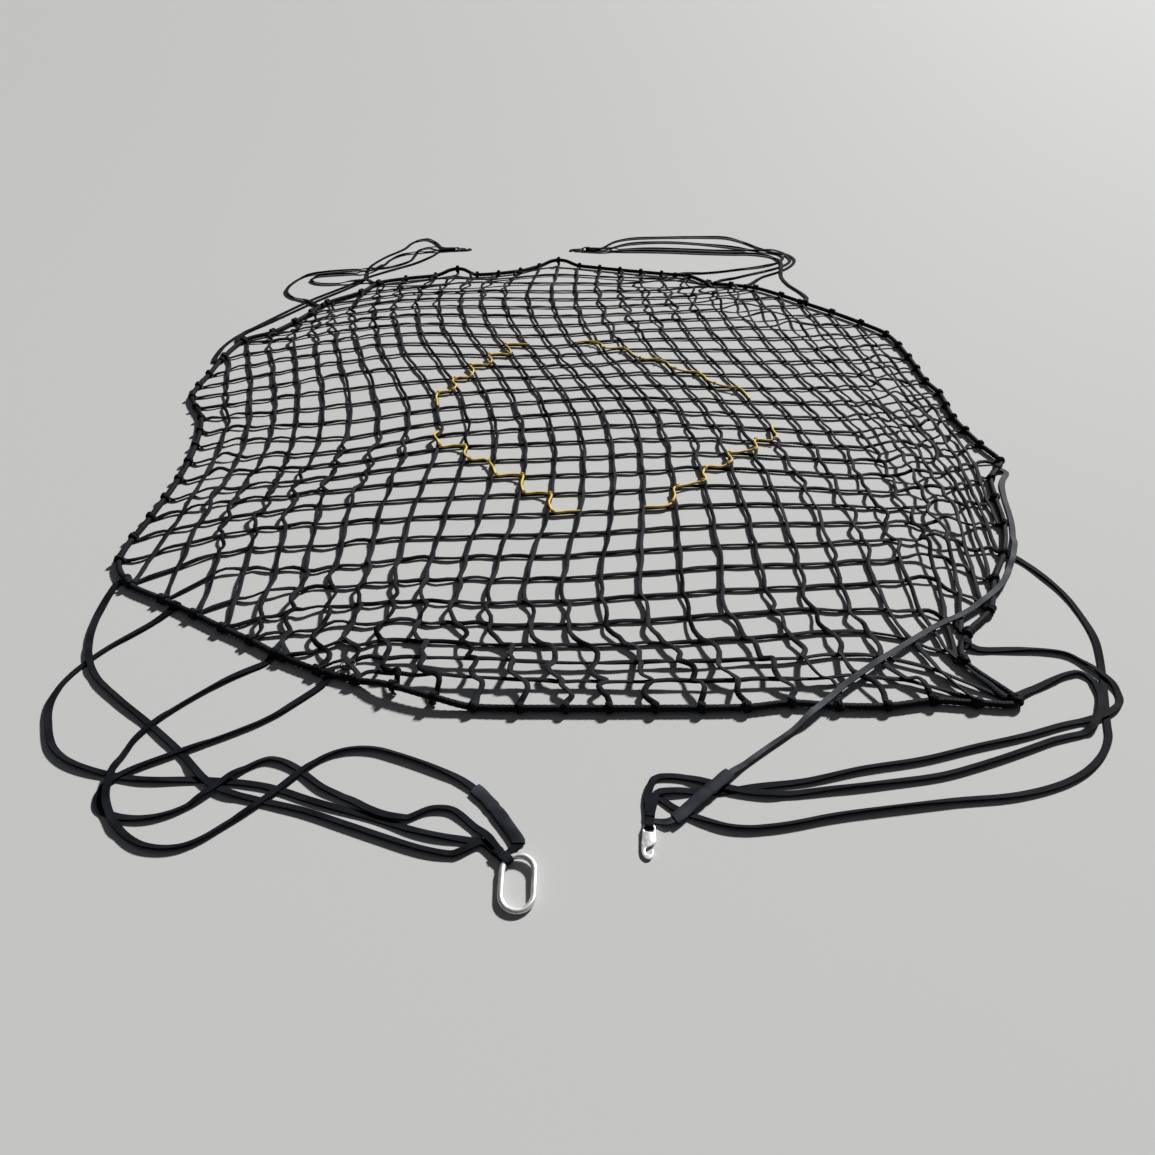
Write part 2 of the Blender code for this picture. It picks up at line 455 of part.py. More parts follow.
def lay_straps():
    """Lays each strap in turn, lifting it in long low humps over what already lies below it."""
    below = np.empty((0, 5))
    rope = border_line(np.linspace(0, 84, 1400))
    rope_rows = np.column_stack([rope, np.full(len(rope), 0.5 * ROPE), np.full(len(rope), FLAT)])
    laid = {}
    for name, leg, step, lateral, sleeve, over_net, route in STRAPS:
        start, normal, rope_height = rope_side(step)
        end, ahead = leg_end(leg, lateral)
        points = [start, start + 0.035 * normal] + list(route) + [end - 0.05 * ahead, end]
        line = thin_out(ease_through(points, 0.005))
        run = np.concatenate([[0], np.cumsum(np.linalg.norm(np.diff(line, axis=0), axis=1))])
        at = np.linspace(0, run[-1], int(run[-1] / 0.006) + 2)
        fine = np.column_stack([np.interp(at, run, line[:, k]) for k in (0, 1)])
        in_sleeve = (at > sleeve[0] * run[-1] - 0.03) & (at < sleeve[1] * run[-1] + 0.03)
        half_wide = np.where(in_sleeve, 0.5 * SLEEVE_WIDE, 0.5 * STRAP_WIDE)
        half_thick = 0.5 * STRAP_THICK + np.where(in_sleeve, SLEEVE_WALL + SLEEVE_GAP, 0)
        need = half_thick.copy()
        rows = np.vstack([below, rope_rows]) if over_net else below
        if len(rows):
            apart = np.linalg.norm(fine[:, None] - rows[None, :, :2], axis=2)
            near = apart < half_wide[:, None] + rows[None, :, 3] + 0.003
            if over_net:
                near[at < 0.08, len(below):] = False
            tops = np.where(near, rows[None, :, 2] + rows[None, :, 4], 0).max(axis=1)
            need = np.where(tops > 0, tops + half_thick + APART, need)
        if over_net:
            crossing = (at > over_net[0]) & (at < over_net[1])
            tall = ground_height(fine) + 0.5 * CORD_HIGH + half_thick + 0.0075
            need = np.where(crossing, np.maximum(need, tall), need)
        high = np.empty(len(line))
        for i in range(len(line)):
            touched = (at >= run[max(i - 1, 0)]) & (at <= run[min(i + 1, len(line) - 1)])
            high[i] = need[touched].max()
        high[0] = max(high[0], rope_height)
        high = (high[None, :] - STEEPEST * np.abs(run[:, None] - run[None, :])).max(axis=1)
        share = run / run[-1]
        covered = np.flatnonzero((share >= sleeve[0]) & (share <= sleeve[1]))
        laid[name] = (line, high, plan_normals(line, normal, ahead), covered)
        z = np.interp(at, run, high)
        below = np.vstack([below, np.column_stack([fine, z, half_wide, half_thick])])
        print(name, "length", round(float(run[-1]), 2), "end height", round(float(high[-1]) * 1000, 1))
    return laid


def band_sections(line, high, normal, across, up):
    """Sections of a band: offsets across and up, at each point of its line."""
    across, up = np.array(across), np.array(up)
    plan = line[:, None, :] + normal[:, None, :] * across[None, :, None]
    tall = high[:, None] + up[None, :]
    return np.concatenate([plan, tall[:, :, None]], axis=2)


def build_strap(name, line, high, normal, material):
    half, thick = 0.5 * STRAP_WIDE, 0.5 * STRAP_THICK
    up = [-thick, -thick, thick, thick]
    sections = band_sections(line, high, normal, [half, -half, -half, half], up)
    return make_object(name, sections.reshape(-1, 3), closed_sweep(sections, ring=False), material)


def build_sleeve(name, line, high, normal, material):
    """A flattened tube round the strap, open at both ends."""
    wide, thick = 0.5 * SLEEVE_WIDE, 0.5 * STRAP_THICK + SLEEVE_GAP + SLEEVE_WALL
    cut = 0.6 * thick
    across = np.array([wide, wide, wide - cut, cut - wide, -wide, -wide, cut - wide, wide - cut])
    up = np.array([cut - thick, thick - cut, thick, thick, thick - cut, cut - thick, -thick, -thick])
    outer = band_sections(line, high, normal, across, up)
    thin = 1 - SLEEVE_WALL / thick
    inner = band_sections(line, high, normal, across - np.sign(across) * SLEEVE_WALL, up * thin)
    count, sides = len(line), 8
    points = np.concatenate([outer.reshape(-1, 3), inner.reshape(-1, 3)])
    base = count * sides
    faces = []
    for i in range(count - 1):
        for a in range(sides):
            b = (a + 1) % sides
            faces.append((i * sides + a, i * sides + b, (i + 1) * sides + b, (i + 1) * sides + a))
            faces.append((base + i * sides + b, base + i * sides + a,
                          base + (i + 1) * sides + a, base + (i + 1) * sides + b))
    for a in range(sides):
        b = (a + 1) % sides
        faces.append((b, a, base + a, base + b))
        last = (count - 1) * sides
        faces.append((last + a, last + b, base + last + b, base + last + a))
    return make_object(name, points, faces, material)


def build_plate(name, outline, hole, low, high, place, material):
    """A flat plate with one hole, from low to high along its thickness, put in place by a function."""
    loops = [[(x, y, 0.0) for x, y in outline], [(x, y, 0.0) for x, y in hole]]
    flat = np.array(loops[0] + loops[1])[:, :2]
    count = len(flat)
    faces = []
    for a, b, c in tessellate_polygon(loops):
        (ax, ay), (bx, by), (cx, cy) = flat[a], flat[b], flat[c]
        if (bx - ax) * (cy - ay) - (cx - ax) * (by - ay) < 0:
            b, c = c, b
        faces.append((a + count, b + count, c + count))
        faces.append((c, b, a))
    start = 0
    for loop, keep in ((outline, True), (hole, False)):
        ring = np.array(loop)
        ahead = np.roll(ring, -1, axis=0)
        left = np.sum(ring[:, 0] * ahead[:, 1] - ahead[:, 0] * ring[:, 1]) > 0
        for i in range(len(loop)):
            a, b = start + i, start + (i + 1) % len(loop)
            if left != keep:
                a, b = b, a
            faces.append((a, b, b + count, a + count))
        start += len(loop)
    points = [place(x, y, low) for x, y in flat] + [place(x, y, high) for x, y in flat]
    return make_object(name, points, faces, material)


def frame_of(leg):
    x, y, heading = LEGS[leg][:3]
    turn = np.radians(heading)
    return np.array([x, y]), np.array([np.cos(turn), np.sin(turn)]), np.array([-np.sin(turn), np.cos(turn)])


def build_eye(name, leg, bar_radius, bar_height, tail_height, material):
    """The leg's stitched webbing eye: a flat tail that the strap ends meet, looped round the bar."""
    origin, ahead, left = frame_of(leg)
    outer_radius = bar_radius / np.cos(np.pi / 12) + EYE_WALL
    turn = np.radians(np.linspace(-100, 100, 9))
    arc = [(EYE_LONG + outer_radius * np.cos(t), bar_height + outer_radius * np.sin(t)) for t in turn]
    outline = [(0.0, APART)] + arc + [(0.0, tail_height)]
    turn = np.radians(30 * np.arange(12) + 15)
    radius = bar_radius / np.cos(np.pi / 12)
    hole = [(EYE_LONG + radius * np.cos(t), bar_height + radius * np.sin(t)) for t in turn]

    def place(far, up, side):
        return (*(origin + far * ahead - side * left), up)

    return build_plate(name, outline, hole, -0.5 * EYE_WIDE, 0.5 * EYE_WIDE, place, material)


def build_hook(name, leg, material):
    """A flat plate hook whose slot bar sits in the leg's eye and whose tip rests on the ground."""
    origin, ahead, left = frame_of(leg)
    bar = origin + EYE_LONG * ahead
    fall = (HOOK_BAR_HIGH - 0.5 * HOOK_THICK) / HOOK_OUTLINE_END

    def place(side, far, up):
        return (*(bar + far * ahead - side * left), HOOK_BAR_HIGH - fall * far + up)

    half = 0.5 * HOOK_THICK
    return build_plate(name, HOOK_OUTLINE, HOOK_SLOT, -half, half, place, material)


def build_oblong(name, centre, long_half, wide_half, wire, heights, sides, steps, material):
    """A racetrack ring of round wire lying along Y, with a height at its far and near end."""
    radius = wide_half - wire
    straight = long_half - wide_half
    turn = np.linspace(0, 2 * np.pi, steps, endpoint=False) + np.pi / steps
    shift = np.where(np.sin(turn) > 0, straight, -straight)
    line = np.stack([radius * np.cos(turn), radius * np.sin(turn) + shift], axis=1)
    normal = np.stack([np.cos(turn), np.sin(turn)], axis=1)
    angle = 2 * np.pi * (np.arange(sides) + 0.5) / sides
    share = 0.5 + 0.5 * line[:, 1] / (long_half - wire)
    tall = heights[1] + (heights[0] - heights[1]) * share
    plan = line[:, None, :] + normal[:, None, :] * (wire * np.cos(angle))[None, :, None] + np.array(centre)
    z = tall[:, None] + wire * np.sin(angle)[None, :]
    sections = np.concatenate([plan, z[:, :, None]], axis=2)
    faces = closed_sweep(sections, ring=True)
    return make_object(name, sections.reshape(-1, 3), faces, material)


def main():
    clear_scene()
    cord = plain_material("net_cord", (0.025, 0.027, 0.033), 0.8)
    rope = plain_material("rope", (0.02, 0.021, 0.026), 0.8)
    webbing = plain_material("webbing", (0.03, 0.031, 0.036), 0.7)
    grey = plain_material("grey_webbing", (0.16, 0.18, 0.21), 0.75)
    bright = plain_material("bright_steel", (0.72, 0.73, 0.74), 0.35, 1.0)
    dark = plain_material("dark_steel", (0.05, 0.05, 0.055), 0.45, 1.0)
    build_net(cord)
    build_border(rope)
    laid = lay_straps()
    for name, (line, high, normal, covered) in laid.items():
        build_strap(name, line, high, normal, webbing)
        if len(covered) > 2:
            part = slice(covered[0], covered[-1] + 1)
            build_sleeve(name.replace("strap", "sleeve"), line[part], high[part], normal[part], grey)
    tail = {leg: 0.0 for leg in LEGS}
    for row in STRAPS:
        tail[row[1]] = max(tail[row[1]], laid[row[0]][1][-1] + 0.5 * STRAP_THICK)
    build_eye("eye_front_left", "front_left", RING_WIRE + 0.0028, RING_BAR_HIGH, tail["front_left"], webbing)
    build_oblong("lifting_ring", RING_CENTRE, RING_LONG, RING_WIDE, RING_WIRE,
                 RING_HEIGHTS, 8, 28, bright)
    for leg, metal in (("front_right", bright), ("back_left", dark), ("back_right", dark)):
        build_eye("eye_" + leg, leg, HOOK_EYE_RADIUS, HOOK_BAR_HIGH, tail[leg], webbing)
        build_hook("hook_" + leg, leg, metal)
    build_oblong("small_ring", SMALL_RING[:2], 0.030, 0.0299, 0.0045, SMALL_RING[2:] * 2, 8, 20, dark)


main()
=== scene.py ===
"""A loosely laid square-mesh cargo net with four lifting legs of webbing straps.

The net's crossings take the smoothest spacing that meets the border rope and a few pinned places. Each cord
runs through its crossings. Where two crossings lie closer together than one mesh, the spare cord bows
sideways and up. Every cord, rope, strap and ring is a section carried along such a line, as a grid of points.
Lengths are in metres, +Z is up, +Y is away from the viewer, and the net lies on z = 0.
"""

from collections import namedtuple

import bpy
import numpy as np
from mathutils.geometry import tessellate_polygon
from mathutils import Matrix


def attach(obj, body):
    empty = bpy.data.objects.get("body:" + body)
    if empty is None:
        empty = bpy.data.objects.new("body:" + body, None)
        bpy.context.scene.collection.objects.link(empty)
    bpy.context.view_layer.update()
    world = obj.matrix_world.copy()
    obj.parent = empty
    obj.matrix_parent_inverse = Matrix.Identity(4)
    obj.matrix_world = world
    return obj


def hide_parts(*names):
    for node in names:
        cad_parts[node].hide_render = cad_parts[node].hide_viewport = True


bl_info = {
    "name": "Cargo net",
    "version": (1, 0, 0),
    "blender": (4, 5, 0),
    "location": "View3D > Sidebar > Cargo net",
    "description": "A laid-out square-mesh cargo net with four lifting legs",
    "category": "Add Mesh",
}

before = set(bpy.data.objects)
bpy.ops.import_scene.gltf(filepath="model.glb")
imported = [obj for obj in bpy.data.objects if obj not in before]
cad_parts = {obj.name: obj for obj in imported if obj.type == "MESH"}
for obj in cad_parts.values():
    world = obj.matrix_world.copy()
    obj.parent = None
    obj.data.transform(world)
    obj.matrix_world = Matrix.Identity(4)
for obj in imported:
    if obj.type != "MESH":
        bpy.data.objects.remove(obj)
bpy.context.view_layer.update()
UP = np.array([0.0, 0.0, 1.0])

# Driving dimensions, the same as the solids'
MESH = 0.1524            # one mesh of the net
HALF = 15                # meshes from the net's centre to each straight side
SIDE = 6                 # meshes from the middle of a straight side to its end
REACH = HALF + SIDE      # |u| + |v| on the sloping sides
ROUND = 8 * SIDE + 4 * (HALF - SIDE)    # meshes round the border
CORD_WIDE = 0.016        # the net's cord, as the solids have it
CORD_HIGH = 0.014
ROPE = 0.030             # across the corners of the solid rope's eight-sided section
FLAT = 0.5 * ROPE * np.cos(np.pi / 8)    # from its middle to a flat side
STRAP_WIDE = 0.024
STRAP_THICK = 0.007
SLEEVE_WALL = 0.003
SLEEVE_WIDE = 0.044
SLEEVE_GAP = 0.0008      # between a strap and its sleeve
APART = 0.0005           # between pieces that lie together
LONGEST_STEP = 0.06      # of a strap's line, where it runs straight
MOST_TURN = 0.33         # radians in one step, where it bends
STEEPEST = 0.30          # how fast a strap climbs over what lies below it
LEAD_OFF = 0.035         # how far a strap leaves the rope square to it, and comes to its eye straight
LEAD_IN = 0.05
SLEEVE_REACH = 0.03      # beyond its ends a sleeve still lifts its strap, or what lies on it, for this far
BESIDE = 0.003           # what lies this near beside a strap lifts it too
OFF_ROPE = 0.08          # the start of a strap that the rope doesn't lift
OVER_CORDS = 0.0075      # room for the net's slack under a strap that crosses it
EYE_WIDE = 0.028
EYE_LONG = 0.055
HOOK_THICK = 0.008
HOOK_LONG = 0.114        # from the slot bar's centre to past the tip
HOOK_BAR_RADIUS = 0.0080
HOOK_BAR_HIGH = 0.0118   # height of the slot bar's centre
RING_WIRE = 0.0095       # radius of the lifting ring's wire
RING_LONG = 0.095        # half its length and half its width
RING_WIDE = 0.058
RING_CENTRE = (-0.140, -2.855)
RING_BAR_HIGH = 0.0162
RING_HEIGHTS = (0.0176, 0.00878)         # of the wire's centre in the eye and at the near end
SMALL_RING = (-0.822, -1.978, 0.0243)    # it lies on the net: x, y, height
MIDDLE = np.array([0.0002, 0.0855, 0.0])    # of the border rope in the tables below, and the frame's origin

# The camera in the frame: place, tilt below the horizon, and focal length in pixels of the photograph
CAMERA_PLACE = (0.0348, -4.2405, 2.255)
CAMERA_TILT = 39.7
PHOTO_SIDE = 1155
FOCAL_PIXELS = 830.0
SENSOR_SIDE = 36.0       # millimetres

# The light and the floor
FLOOR = [(-30, -12, -0.0004), (30, -12, -0.0004), (30, 40, -0.0004), (-30, 40, -0.0004)]
SUN_HEIGHT, SUN_BEARING, SUN_SPREAD = np.radians(34.0), np.radians(142), np.radians(5)
SUN_POWER = 5.7
PANEL_PLACE, PANEL_SIDE, PANEL_POWER = (0, 0.5, 7), 9, 18
SKY_COLOUR, SKY_POWER = (0.80, 0.84, 0.92, 1), 0.06

# The border rope, going round from the left side's far end: mesh number, x, y. LIFTS has how far some of
# its places arch off the ground, by mesh number
BORDER = [
    (0, -2.17, 0.45), (1, -2.18, 0.30), (2, -2.17, 0.16), (3, -2.10, 0.03), (4, -2.03, -0.09),
    (6, -1.96, -0.38), (8, -1.93, -0.70), (10, -1.94, -1.02), (12, -1.95, -1.34), (13, -1.84, -1.50),
    (14, -1.66, -1.60), (15, -1.50, -1.69), (16, -1.36, -1.77), (17, -1.23, -1.84), (18, -1.08, -1.93),
    (19, -0.93, -2.00), (20, -0.78, -2.05), (21, -0.63, -2.10), (22, -0.48, -2.15), (23, -0.33, -2.18),
    (25, -0.01, -2.185), (27, 0.31, -2.185), (29, 0.64, -2.18), (30, 0.80, -2.16), (31, 0.97, -2.175),
    (32, 1.14, -2.175), (33, 1.31, -2.15), (34, 1.46, -2.16), (35, 1.61, -2.15), (36, 1.49, -1.95),
    (37, 1.56, -1.80), (38, 1.70, -1.66), (39, 1.79, -1.47), (40, 1.90, -1.29), (41, 1.985, -1.08),
    (42, 2.03, -0.86), (43, 2.075, -0.69), (44, 2.1795, -0.54), (45, 2.14, -0.37), (47, 2.10, -0.08),
    (49, 2.12, 0.20), (50, 2.09, 0.36), (52, 2.09, 0.68), (54, 2.05, 1.03), (55, 1.93, 1.21),
    (56, 1.78, 1.39), (57, 1.63, 1.55), (58, 1.49, 1.70), (59, 1.33, 1.84), (60, 1.16, 1.90),
    (61, 1.00, 1.94), (62, 0.87, 2.08), (63, 0.67, 2.13), (65, 0.36, 2.21), (67, 0.05, 2.30),
    (68, -0.11, 2.36), (69, -0.26, 2.29), (70, -0.40, 2.19), (72, -0.72, 2.11), (73, -0.87, 2.17),
    (74, -1.03, 2.09), (75, -1.24, 2.03), (76, -1.43, 1.94), (77, -1.52, 1.76), (78, -1.72, 1.56),
    (79, -1.79, 1.39), (80, -1.86, 1.23), (81, -1.96, 1.06), (82, -2.11, 0.93), (83, -2.16, 0.69),
]
LIFTS = {21: 0.03, 22: 0.02, 68: 0.03, 73: 0.03}

# Where the net's own crossings lie on the ground: u across, v towards the viewer, x, y
PINS = [
    (-12, 0, -1.59, -0.30), (-12, 6, -1.57, -1.14), (-12, 8, -1.50, -1.39),
    (-9, 0, -1.18, -0.30), (-9, 3, -1.19, -0.68), (-9, 6, -1.17, -1.06), (-9, 8, -1.12, -1.42),
    (-6, -11, -1.24, 1.63), (-6, -5, -1.05, 0.75), (-6, -2, -0.78, 0.20), (-6, 2, -0.69, -0.39),
    (-6, 6, -0.74, -1.01), (-6, 10, -0.72, -1.60),
    (-3, -5, -0.52, 0.72), (-3, 0, -0.29, -0.06), (-3, 6, -0.25, -0.99), (-3, 11, -0.32, -1.75),
    (-1, -12, -0.49, 1.81), (0, -6, -0.13, 0.85), (0, 0, 0.18, 0.00), (0, 6, 0.20, -0.97),
    (0, 11, 0.13, -1.73),
    (3, -5, 0.34, 0.82), (3, 0, 0.62, 0.00), (3, 4, 0.65, -0.58), (3, 9, 0.66, -1.37),
    (3, 11, 0.62, -1.68),
    (6, -2, 0.96, 0.28), (6, 3, 1.10, -0.48), (6, 8, 1.16, -1.21), (6, 11, 1.12, -1.66),
    (9, 1, 1.56, -0.24), (9, 6, 1.58, -0.94), (9, 10, 1.57, -1.45),
    (-6, 12, -0.74, -1.83), (-6, 13, -0.69, -1.94), (-3, 12, -0.25, -1.86), (-3, 13, -0.20, -1.96),
    (-3, 14, -0.17, -2.05), (0, 12, 0.23, -1.86), (0, 13, 0.26, -1.96), (0, 14, 0.32, -2.06),
    (2, 12, 0.52, -1.84), (2, 13, 0.56, -1.95), (2, 14, 0.63, -2.06), (4, 12, 0.88, -1.80),
    (4, 13, 0.88, -1.94), (4, 14, 0.94, -2.05), (6, 12, 1.18, -1.77), (6, 13, 1.16, -1.92),
    (6, 14, 1.24, -2.04),
]

# Ruffles in the slack net: x, y, length along, width across, heading in degrees, height
RUFFLES = [
    (1.85, 0.30, 0.45, 0.07, 80, 0.040), (1.70, -0.60, 0.50, 0.07, 100, 0.035),
    (1.95, -0.15, 0.30, 0.06, 85, 0.030), (1.30, 1.35, 0.45, 0.08, 135, 0.040),
    (-1.75, -0.60, 0.40, 0.06, 95, 0.022), (-0.42, -2.00, 0.30, 0.07, 0, 0.030),
    (-1.25, -1.55, 0.35, 0.06, 150, 0.020), (-0.85, 1.95, 0.30, 0.07, 175, 0.030),
    (0.75, 1.90, 0.35, 0.07, 165, 0.030), (1.66, -1.18, 0.30, 0.07, 60, 0.030),
    (0.45, -2.02, 0.75, 0.08, 0, 0.022),
]

# Lifting legs: the plan point where a leg's strap ends meet its stitched eye, and the heading there
LEGS = {
    "front_left": (-0.2129, -2.7451, -45.0),
    "front_right": (0.2649, -2.6089, -97.0),
    "front_left_side": (-0.1818, -2.7564, 225.0),
    "front_right_side": (0.2752, -2.6404, 173.0),
    "back_left": (-0.985, 2.700, 4.0),
    "back_right": (0.135, 2.690, 178.0),
}

# Lifting straps in the order in which they lie: name, leg, the border's mesh number where it starts, place
# across the eye, and the route over the ground
Strap = namedtuple("Strap", "name leg step lateral route")
STRAPS = [
    Strap("strap_front_left_2", "front_left", 14.4, -0.015, [
        (-1.68, -1.76), (-1.78, -1.88), (-1.85, -2.02), (-1.86, -2.13), (-1.82, -2.24), (-1.74, -2.36),
        (-1.62, -2.43), (-1.42, -2.48), (-1.18, -2.485), (-0.98, -2.51), (-0.80, -2.57), (-0.60, -2.63),
        (-0.47, -2.675), (-0.36, -2.70)]),
    Strap("strap_front_left_1", "front_left", 12.8, -0.015, [
        (-1.90, -1.62), (-1.88, -1.76), (-1.84, -1.88), (-1.76, -2.01), (-1.62, -2.13), (-1.46, -2.25),
        (-1.31, -2.37), (-1.15, -2.51), (-0.98, -2.565), (-0.84, -2.60), (-0.71, -2.645), (-0.57, -2.695),
        (-0.45, -2.735), (-0.34, -2.755)]),
    Strap("strap_front_left_4", "front_left", 19.3, 0.015, [
        (-0.97, -2.14), (-1.05, -2.22), (-1.18, -2.30), (-1.33, -2.38), (-1.45, -2.45), (-1.51, -2.52),
        (-1.49, -2.59), (-1.41, -2.625), (-1.33, -2.63), (-1.24, -2.605), (-1.16, -2.54), (-1.08, -2.45),
        (-1.00, -2.40), (-0.91, -2.43), (-0.80, -2.51), (-0.70, -2.56), (-0.60, -2.61), (-0.51, -2.63),
        (-0.43, -2.595), (-0.36, -2.60), (-0.30, -2.65)]),
    Strap("strap_front_left_3", "front_left_side", 17.75, 0.0, [
        (-1.23, -2.01), (-1.33, -2.10), (-1.44, -2.23), (-1.49, -2.34), (-1.50, -2.46), (-1.47, -2.57),
        (-1.39, -2.67), (-1.28, -2.73), (-1.16, -2.725), (-1.05, -2.64), (-0.95, -2.54), (-0.86, -2.43),
        (-0.78, -2.37), (-0.67, -2.355), (-0.55, -2.39), (-0.43, -2.44), (-0.33, -2.495), (-0.25, -2.57),
        (-0.19, -2.65)]),
    Strap("strap_front_right_2", "front_right", 40.0, -0.015, [
        (2.00, -1.40), (2.05, -1.55), (2.06, -1.70), (2.05, -1.82), (2.01, -1.95), (1.96, -2.08),
        (1.90, -2.22), (1.85, -2.33), (1.75, -2.43), (1.62, -2.50), (1.45, -2.545), (1.25, -2.565),
        (1.05, -2.59), (0.85, -2.62), (0.68, -2.655), (0.54, -2.665), (0.43, -2.635), (0.34, -2.59),
        (0.285, -2.545)]),
    Strap("strap_front_right_3", "front_right", 36.6, 0.015, [
        (1.66, -1.88), (1.78, -1.88), (1.90, -1.90), (1.96, -1.97), (2.00, -2.06), (1.98, -2.15),
        (1.88, -2.215), (1.74, -2.25), (1.58, -2.30), (1.40, -2.345), (1.20, -2.40), (0.98, -2.44),
        (0.78, -2.49), (0.62, -2.51), (0.50, -2.53), (0.38, -2.53), (0.30, -2.535)]),
    Strap("strap_front_right_4", "front_right", 35.15, -0.015, [
        (1.75, -2.06), (1.84, -2.015), (1.905, -2.0), (1.935, -2.04), (1.92, -2.13),
        (1.82, -2.27), (1.68, -2.315), (1.56, -2.36), (1.42, -2.41), (1.24, -2.465), (1.05, -2.495),
        (0.86, -2.52), (0.70, -2.54), (0.57, -2.53), (0.44, -2.49), (0.35, -2.47), (0.29, -2.48)]),
    Strap("strap_front_right_1", "front_right_side", 43.6, 0.0, [
        (2.125, -0.71), (2.085, -0.84), (2.045, -1.02), (2.006, -1.14), (1.945, -1.285), (1.85, -1.45),
        (1.765, -1.55), (1.60, -1.68), (1.44, -1.77), (1.28, -1.88), (1.13, -1.99), (0.99, -2.10),
        (0.90, -2.18), (0.78, -2.28), (0.66, -2.37), (0.56, -2.45), (0.46, -2.535), (0.385, -2.60)]),
    Strap("strap_back_left_1", "back_left", 83.2, -0.015, [
        (-2.225, 0.74), (-2.22, 0.88), (-2.18, 1.03), (-2.10, 1.19), (-1.98, 1.42), (-1.85, 1.65),
        (-1.69, 1.87), (-1.53, 2.10), (-1.37, 2.26), (-1.22, 2.40), (-1.12, 2.55), (-1.08, 2.65)]),
    Strap("strap_back_left_4", "back_left", 82.0, 0.015, [
        (-2.15, 1.06), (-2.05, 1.22), (-1.93, 1.42), (-1.80, 1.64), (-1.64, 1.87), (-1.55, 2.05),
        (-1.57, 2.28), (-1.49, 2.52), (-1.37, 2.72), (-1.31, 2.90), (-1.21, 2.96), (-1.13, 2.88),
        (-1.08, 2.77)]),
    Strap("strap_back_left_2", "back_left", 78.3, 0.015, [
        (-1.88, 1.62), (-2.00, 1.69), (-2.08, 1.82), (-2.07, 1.98), (-2.00, 2.13), (-1.86, 2.20),
        (-1.70, 2.24), (-1.52, 2.27), (-1.38, 2.33), (-1.28, 2.44), (-1.26, 2.56), (-1.24, 2.70),
        (-1.16, 2.76), (-1.08, 2.73)]),
    Strap("strap_back_left_3", "back_left", 76.0, -0.015, [
        (-1.52, 2.00), (-1.62, 1.98), (-1.76, 1.95), (-1.88, 1.96), (-1.95, 2.03), (-1.92, 2.11),
        (-1.82, 2.14), (-1.70, 2.16), (-1.55, 2.19), (-1.47, 2.33), (-1.43, 2.48), (-1.34, 2.60),
        (-1.20, 2.65), (-1.10, 2.67)]),
    Strap("strap_back_right_1", "back_right", 62.5, -0.015, [
        (0.86, 2.18), (0.97, 2.18), (1.12, 2.21), (1.30, 2.27), (1.46, 2.32), (1.60, 2.41),
        (1.66, 2.53), (1.60, 2.65), (1.50, 2.76), (1.40, 2.90), (1.28, 3.00), (1.10, 3.02),
        (0.92, 3.02), (0.70, 3.01), (0.48, 2.98), (0.34, 2.90), (0.26, 2.78)]),
    Strap("strap_back_right_2", "back_right", 60.7, -0.015, [
        (1.11, 2.03), (1.20, 2.07), (1.32, 2.14), (1.48, 2.23), (1.62, 2.33), (1.70, 2.44),
        (1.69, 2.56), (1.58, 2.64), (1.40, 2.72), (1.20, 2.80), (1.00, 2.86), (0.80, 2.89),
        (0.60, 2.88), (0.42, 2.83), (0.28, 2.73)]),
    Strap("strap_back_right_3", "back_right", 59.4, 0.015, [
        (1.33, 1.97), (1.43, 2.10), (1.55, 2.19), (1.67, 2.31), (1.74, 2.46), (1.71, 2.59),
        (1.61, 2.66), (1.45, 2.665), (1.25, 2.67), (1.02, 2.695), (0.80, 2.72), (0.60, 2.73),
        (0.40, 2.715), (0.27, 2.70)]),
    Strap("strap_back_right_4", "back_right", 57.2, 0.015, [
        (1.67, 1.67), (1.65, 1.78), (1.59, 1.94), (1.57, 2.10), (1.60, 2.26), (1.62, 2.42),
        (1.57, 2.54), (1.44, 2.60), (1.25, 2.605), (1.02, 2.625), (0.80, 2.65), (0.60, 2.665),
        (0.42, 2.665), (0.28, 2.67)]),
]

# Shares of a strap's length between which it lies in a sleeve, and the distances between which it lies over
# the net
SLEEVES = {"strap_front_left_3": (0.875, 0.975), "strap_front_right_1": (0.885, 0.973)}
OVER_NET = {"strap_front_right_1": (0.93, 2.14)}

# Flat plate hook seen from above: across and ahead of the slot bar's centre
HOOK_OUTLINE = [
    (-0.0195, -0.006), (0.0195, -0.006), (0.02, 0.022), (0.02, 0.04), (0.02, 0.06),
    (0.02, 0.078), (0.0175, 0.094), (0.009, 0.107), (-0.002, 0.112), (-0.0125, 0.108),
    (-0.0185, 0.098), (-0.0195, 0.086), (-0.0175, 0.0785), (-0.013, 0.0775), (-0.0115, 0.088),
    (-0.0065, 0.0965), (0.0005, 0.0975), (0.006, 0.0925), (0.007, 0.084), (0.0045, 0.0755),
    (-0.0015, 0.07), (-0.012, 0.0645), (-0.024, 0.053), (-0.0225, 0.04), (-0.0205, 0.022),
]
HOOK_SLOT = [(-0.015, 0.006), (0.015, 0.006), (0.015, 0.021), (-0.015, 0.021)]

